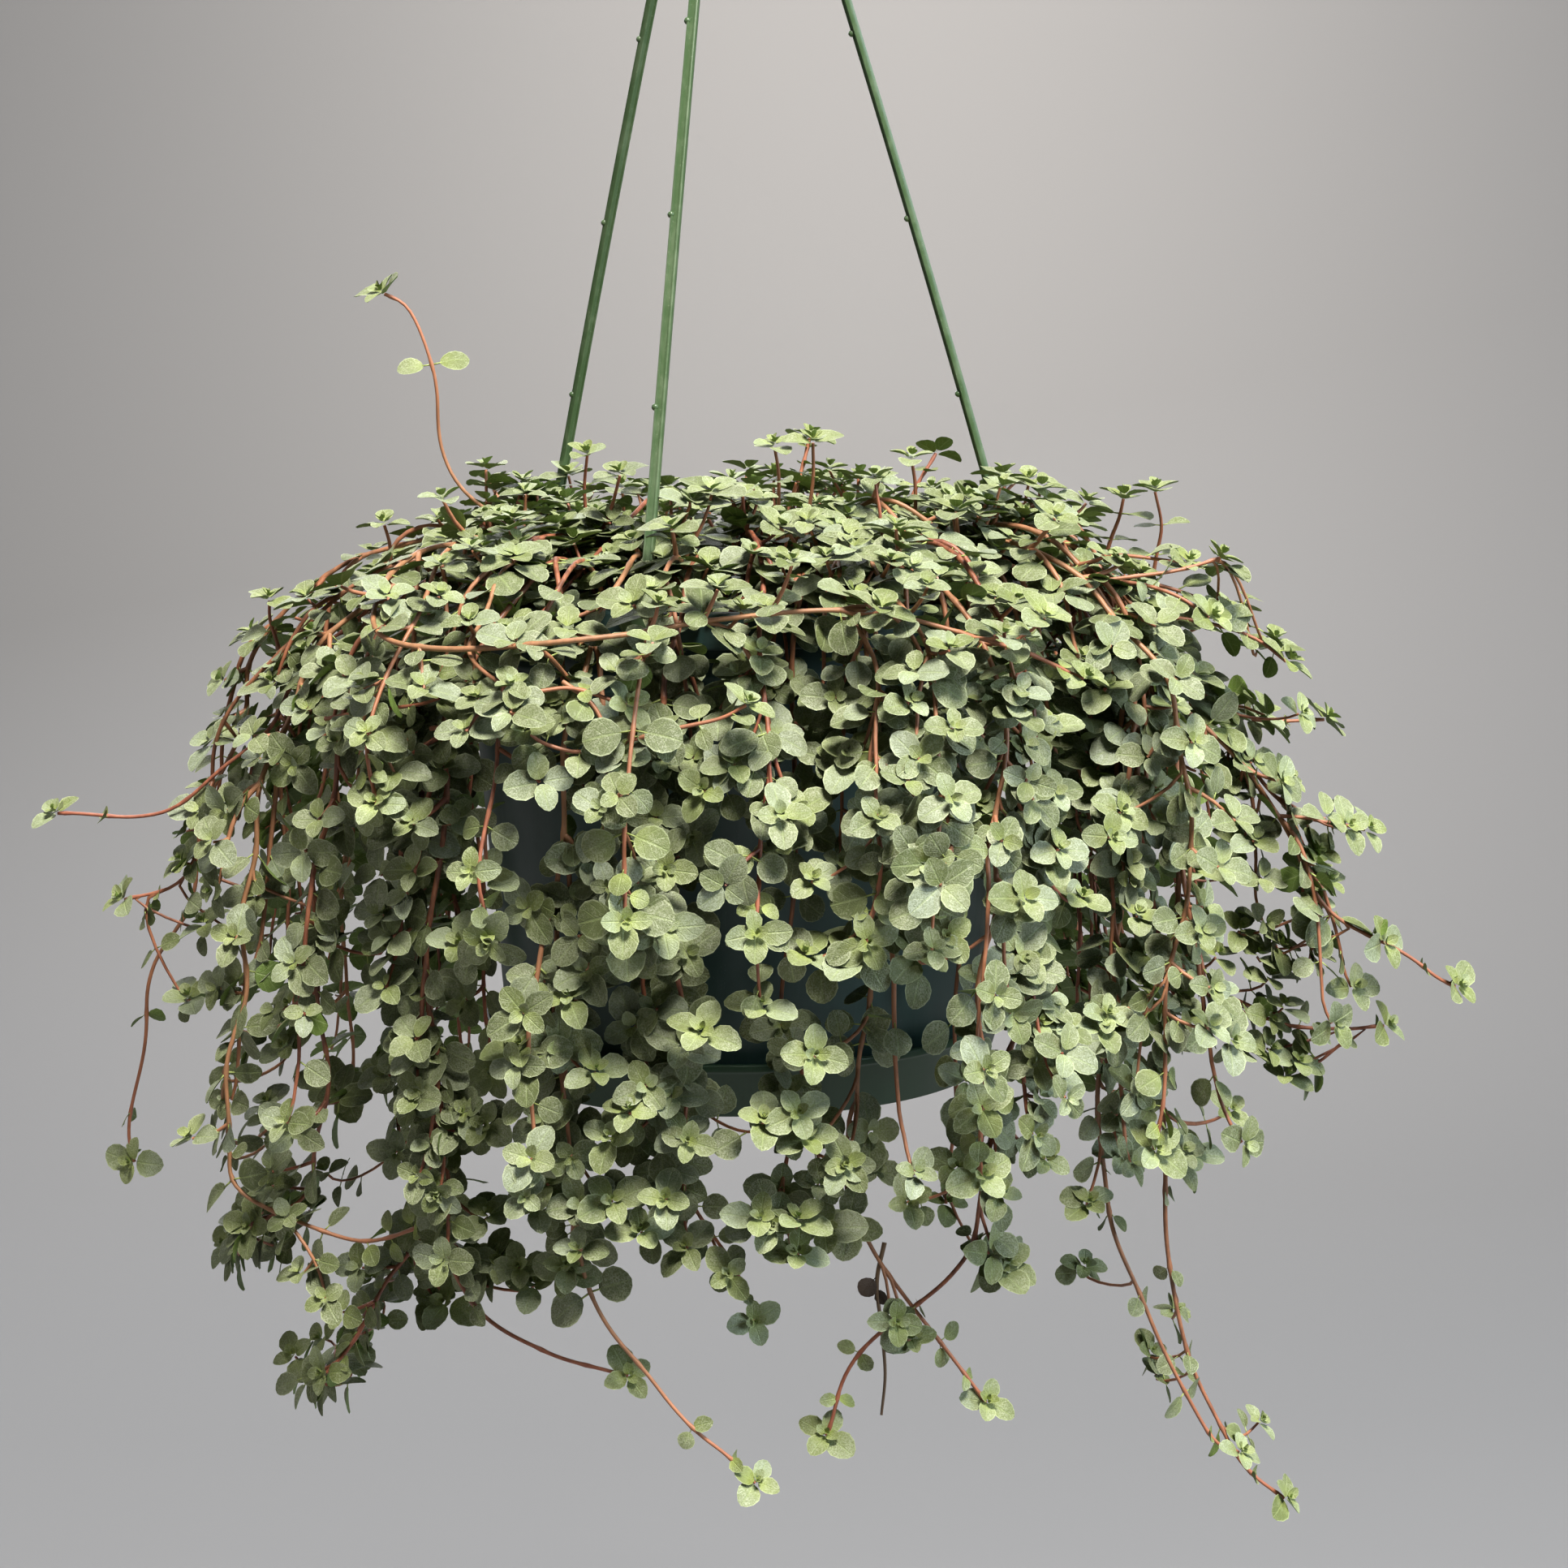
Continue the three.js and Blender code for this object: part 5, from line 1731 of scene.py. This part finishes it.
def growNode(index, vine, place, tangent, radius, distance, order):
    # one leaf pair of a vine, and the shoots and branches in its axils
    chance = vine.chance
    want = facing(place)
    youth = clamp(1 - distance / growth["greenLeaf"])
    free = isOutlying(index, place)
    seen = distance in seenNodes.get(index, ())
    size = min(chance.uniform(*growth["leaf"]), growth["leafTip"] + growth["leafGrowth"] * distance)
    if seen:
        size, free = growth["leaf"][0] * growth["seenLeaf"], False
    addNodeLeaves(vine, place, tangent, order, size * (growth["freeLeaf"] if free else 1.0), youth)
    if seen or distance < growth["shootsFrom"]:
        return
    fewer, shorter = growth["freeShoots"] if free else (1.0, 1.0)
    if chance.random() < growth["shootChance"] * fewer:
        side = squareTo(vine.jitter(1.0) + want * 0.6, tangent)
        length = chance.uniform(*growth["shootLength"]) * shorter
        if not insidePot(place + (side + want * 0.5) * length):
            growTwig(vine, place, side * 0.7 + tangent * 0.9 + want * 0.3, length, radius,
                     clamp(youth + 0.35), shootForm)
    low, high = growth["curtain"]
    if low < heightOf(place) < high:
        side = squareTo(vine.jitter(1.0), tangent)
        length = chance.uniform(*growth["curtainLength"])
        growTwig(vine, place, side + tangent * 0.5, length, radius, 0.1, curtainForm)
    branching = growth["branchChance"] if place.y < growth["farSide"] else growth["backBranches"]
    if distance > growth["branchesFrom"] and not free and chance.random() < branching:
        side = squareTo(vine.jitter(1.0), tangent)
        length = chance.uniform(*growth["branchLength"]) * clamp((heightOf(place) + 190) / 120, 0.35, 1.0)
        growTwig(vine, place, side * 0.6 + tangent + want * 0.2, length, radius, 0.2, branchForm)


def growCrown(vine, line):
    # a few shoots that rise from where the vine crosses the soil
    chance = vine.chance
    inPot = [place for place in line if place.xy.length < rimRadius - 8 and -9 < heightOf(place) < 12]
    for _ in range(growth["crownShoots"] if len(inPot) > 3 else 0):
        place = chance.choice(inPot)
        inward = Vector((-place.x, -place.y, 0)) / 60
        heading = inward * chance.uniform(-0.6, 1.0)
        heading += Vector((chance.gauss(0, 0.7), chance.gauss(0, 0.7), 0.9))
        growTwig(vine, place, heading, chance.uniform(*growth["crownLength"]), 0.75, 0.3, crownForm)


def growVine(index, vine, line, total, goals):
    count = len(line)
    step = total / (count - 1)

    def indexAt(distance):
        return int(clamp(count - 1 - round(distance / step), 1, count - 2))

    nodes = nodeDistances(index, vine, line, total, indexAt)
    swollen = {indexAt(distance) for distance in nodes}
    radii, youths = [], []
    for i in range(count):
        back = (count - 1 - i) * step
        radius = mix(growth["stemTip"], growth["stemBase"], clamp(back / growth["stemTaper"]))
        radii.append(radius * (1 + growth["nodeSwell"] * (i in swollen)))
        youths.append(clamp(1 - back / growth["greenStem"]))
    vine.addStem(line, radii, youths)
    for order, distance in enumerate(nodes):
        at = indexAt(distance)
        inPot = line[at].xy.length < rimRadius - 4 and heightOf(line[at]) < 2
        if distance >= growth["tipClear"] and not inPot:
            growNode(index, vine, line[at], tangentAt(line, at), radii[at], distance, order)
    growCrown(vine, line)
    axis = (line[-1] - line[-3]).normalized()
    axis = (axis * 0.3 + openTo(vine, line[-1])).normalized()
    addRosette(vine, line[-1], axis, vine.chance.uniform(*growth["endRosette"]), 4, 0.85)
    for goal, size in goals:
        growToRosette(vine, line, radii, goal, size)


def addDryTwig(vine, s):
    line = smoothLine([overRim(*place) for place in s["places"]], 6)
    last = len(line) - 1
    vine.addStem(line, graded(*s["radii"], last), [0.0] * len(line), dry=1.0)
    for i, along, normal, size in s["leaves"]:
        vine.addLeaf(line[i], Vector(along), Vector(normal), size, 0.0, dry=1.0)


foliageSettings = {
    "Stem Sides": 6,
    "Stem Scale": 1.0,
    "Leaf Scale": 1.0,
    "Leaves": leafStore,
    "Stem Finish": stemMaterial,
    "Leaf Finish": leafMaterial,
}


def buildVine(index, vine):
    name = f"trailingVine{index + 1:02d}"
    mesh = bpy.data.meshes.new(name)
    mesh.from_pydata(vine.points, vine.edges, [])
    for (label, kind), values in zip(pointRows, zip(*vine.rows)):
        layer = mesh.attributes.new(label, kind, "POINT")
        if kind == "FLOAT_VECTOR":
            layer.data.foreach_set("vector", [number for value in values for number in value])
        else:
            layer.data.foreach_set("value", values)
    piece = placeObject(name, mesh)
    modifier = piece.modifiers.new("foliage", "NODES")
    modifier.node_group = foliageTree
    for label, value in foliageSettings.items():
        modifier[foliageSockets[label]] = value
    return bakeModifiers(piece, name)


def rosettePlace(x, h):
    # the place on the front of the foliage that is seen at x and h
    heights, radii = zip(*shellOutline)
    radius = float(np.interp(h, heights, radii))
    return overRim(x, -max(shellFront, math.sqrt(max(0.0, radius ** 2 - x ** 2))), h)


def shareRosettes(lines):
    # each placed rosette goes to the vine that passes nearest to it and not far below
    goals = [[] for _ in lines]
    takers = [i for i in range(len(lines)) if i not in crossingVines and i not in bareVines]
    flat = {i: np.array([tuple(place) for place in lines[i][4:-2]]) for i in takers}
    for x, h, size in placedRosettes:
        goal = rosettePlace(x, h)
        best = None
        for i in takers:
            apart = np.linalg.norm(flat[i] - np.array(tuple(goal)), axis=1)
            below = np.maximum(0, goal.z - flat[i][:, 2] + growth["belowRoom"])
            cost = float((np.abs(apart - growth["placedReach"]) + growth["belowCost"] * below
                          + growth["reachCost"] * apart).min())
            cost += growth["crowding"] * len(goals[i])
            if best is None or cost < best[0]:
                best = (cost, i)
        goals[best[1]].append((goal, size * growth["placedLeaf"]))
    return goals


vines, lines, totals = [], [], []
for index, route in enumerate(routes):
    vine = Vine(index)
    line, total = resample(splinePoints(route, growth["lineSamples"]), growth["lineStep"])
    vines.append(vine)
    lines.append(wander(vine, line, total))
    totals.append(total)
goals = shareRosettes(lines)


def growOnNearest(places, size):
    # a placed twig grows from the vine that passes nearest to its foot
    foot = overRim(*places[0])
    nearest = min(range(len(lines)), key=lambda i: min((foot - point).length for point in lines[i]))
    growFrontTwig(vines[nearest], places, size)


def growCentre(s):
    for i in range(s["count"]):
        foot = onCircle(s["spread"] * math.sqrt(i + 0.5), i * s["turn"]) + Vector(s["middle"])
        lean = onCircle(s["lean"], i * s["leanTurn"])
        tall = mix(*s["height"], (i * s["tallTurn"]) % 1)
        places = [tuple(foot + lean * share ** 2 + Vector((0, 0, s["rootH"] + tall * share)))
                  for share in (0.0, 0.33, 0.67, 1.0)]
        growOnNearest(places, s["leaf"])


for places, size in frontTwigs.values():
    growOnNearest(places, size)
growCentre(centreShoots)

leafCount = 0
triangleCount = 0
for index, vine in enumerate(vines):
    growVine(index, vine, lines[index], totals[index], goals[index])
    if index == dryTwig["vine"]:
        addDryTwig(vine, dryTwig)
    piece = buildVine(index, vine)
    leafCount += vine.leafCount
    triangleCount += sum(len(face.vertices) - 2 for face in piece.data.polygons)
    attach(piece, "root")
    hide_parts(f"vine_{index + 1:02d}")
for kind in list(leafStore.objects):
    bpy.data.objects.remove(kind)
bpy.data.collections.remove(leafStore)
print("vines grown:", len(routes), "leaves:", leafCount, "triangles:", triangleCount)


# stage and light

stageSetup = {
    "floorZ": -0.80,
    "frontY": -2.6,
    "wallY": 2.2,
    "wallTop": 3.0,
    "halfWidth": 5.0,
    "bend": 1.0,
    "steps": 24,
    "color": (0.205, 0.205, 0.211, 1),
    "roughness": 0.9,
}


def addStage(s):
    # a floor that bends up into the wall behind
    profile = [(s["frontY"], s["floorZ"])]
    for angle in graded(0, math.pi / 2, s["steps"]):
        profile.append((s["wallY"] - s["bend"] + s["bend"] * math.sin(angle),
                        s["floorZ"] + s["bend"] - s["bend"] * math.cos(angle)))
    profile.append((s["wallY"], s["wallTop"]))
    points = [(x, y, z) for x in (-s["halfWidth"], s["halfWidth"]) for y, z in profile]
    count = len(profile)
    mesh = meshFrom("floor", points, [(i, i + 1, i + count + 1, i + count) for i in range(count - 1)])
    shadeSmooth(mesh, 60)
    material, tree, shader = newMaterial("paleFloor")
    shader.inputs["Base Color"].default_value = s["color"]
    shader.inputs["Roughness"].default_value = s["roughness"]
    mesh.materials.append(material)
    floor = placeObject("paleFloor", mesh)


potMiddle = (0.0, 0.0, rimZ * mm)
lightSetup = {
    "keyLight": {"place": (0.38, -0.94, 1.33), "aim": potMiddle, "size": 0.6, "power": 108.0,
                 "color": (1.0, 0.97, 0.91)},
    "leftLight": {"place": (-1.5, -0.6, 0.5), "aim": potMiddle, "size": 0.8, "power": 6.0,
                  "color": (1.0, 0.97, 0.93)},
    "coolFill": {"place": (1.7, -0.7, 0.35), "aim": potMiddle, "size": 1.0, "power": 31.0,
                 "color": (0.74, 0.87, 1.0)},
    "backLight": {"place": (-0.35, 1.45, 0.5), "aim": potMiddle, "size": 1.2, "power": 17.0,
                  "color": (0.95, 0.97, 1.0)},
    "wallLight": {"place": (0.10, 1.45, 0.38), "aim": (0.08, 2.2, -0.06), "size": 0.5, "power": 13.0,
                  "color": (1.0, 0.92, 0.82)},
}
worldSetup = {
    "color": (0.86, 0.90, 1.0, 1),
    "strength": 0.035,
}


def addLight(name, s):
    data = bpy.data.lights.new(name, "AREA")
    data.shape = "RECTANGLE"
    data.size = data.size_y = s["size"]
    data.energy = s["power"]
    data.color = s["color"]
    lamp = placeObject(name, data)
    toAim = Vector(s["aim"]) - Vector(s["place"])
    lamp.matrix_world = Matrix.Translation(s["place"]) @ toAim.to_track_quat("-Z", "Y").to_matrix().to_4x4()


def addWorld(s):
    world = bpy.data.worlds.new("studio")
    world.use_nodes = True
    glow = world.node_tree.nodes["Background"]
    glow.inputs["Color"].default_value = s["color"]
    glow.inputs["Strength"].default_value = s["strength"]
    bpy.context.scene.world = world
    bpy.context.scene.view_settings.view_transform = "Standard"


addStage(stageSetup)
for name, setup in lightSetup.items():
    addLight(name, setup)
addWorld(worldSetup)
print("stage and lights set")
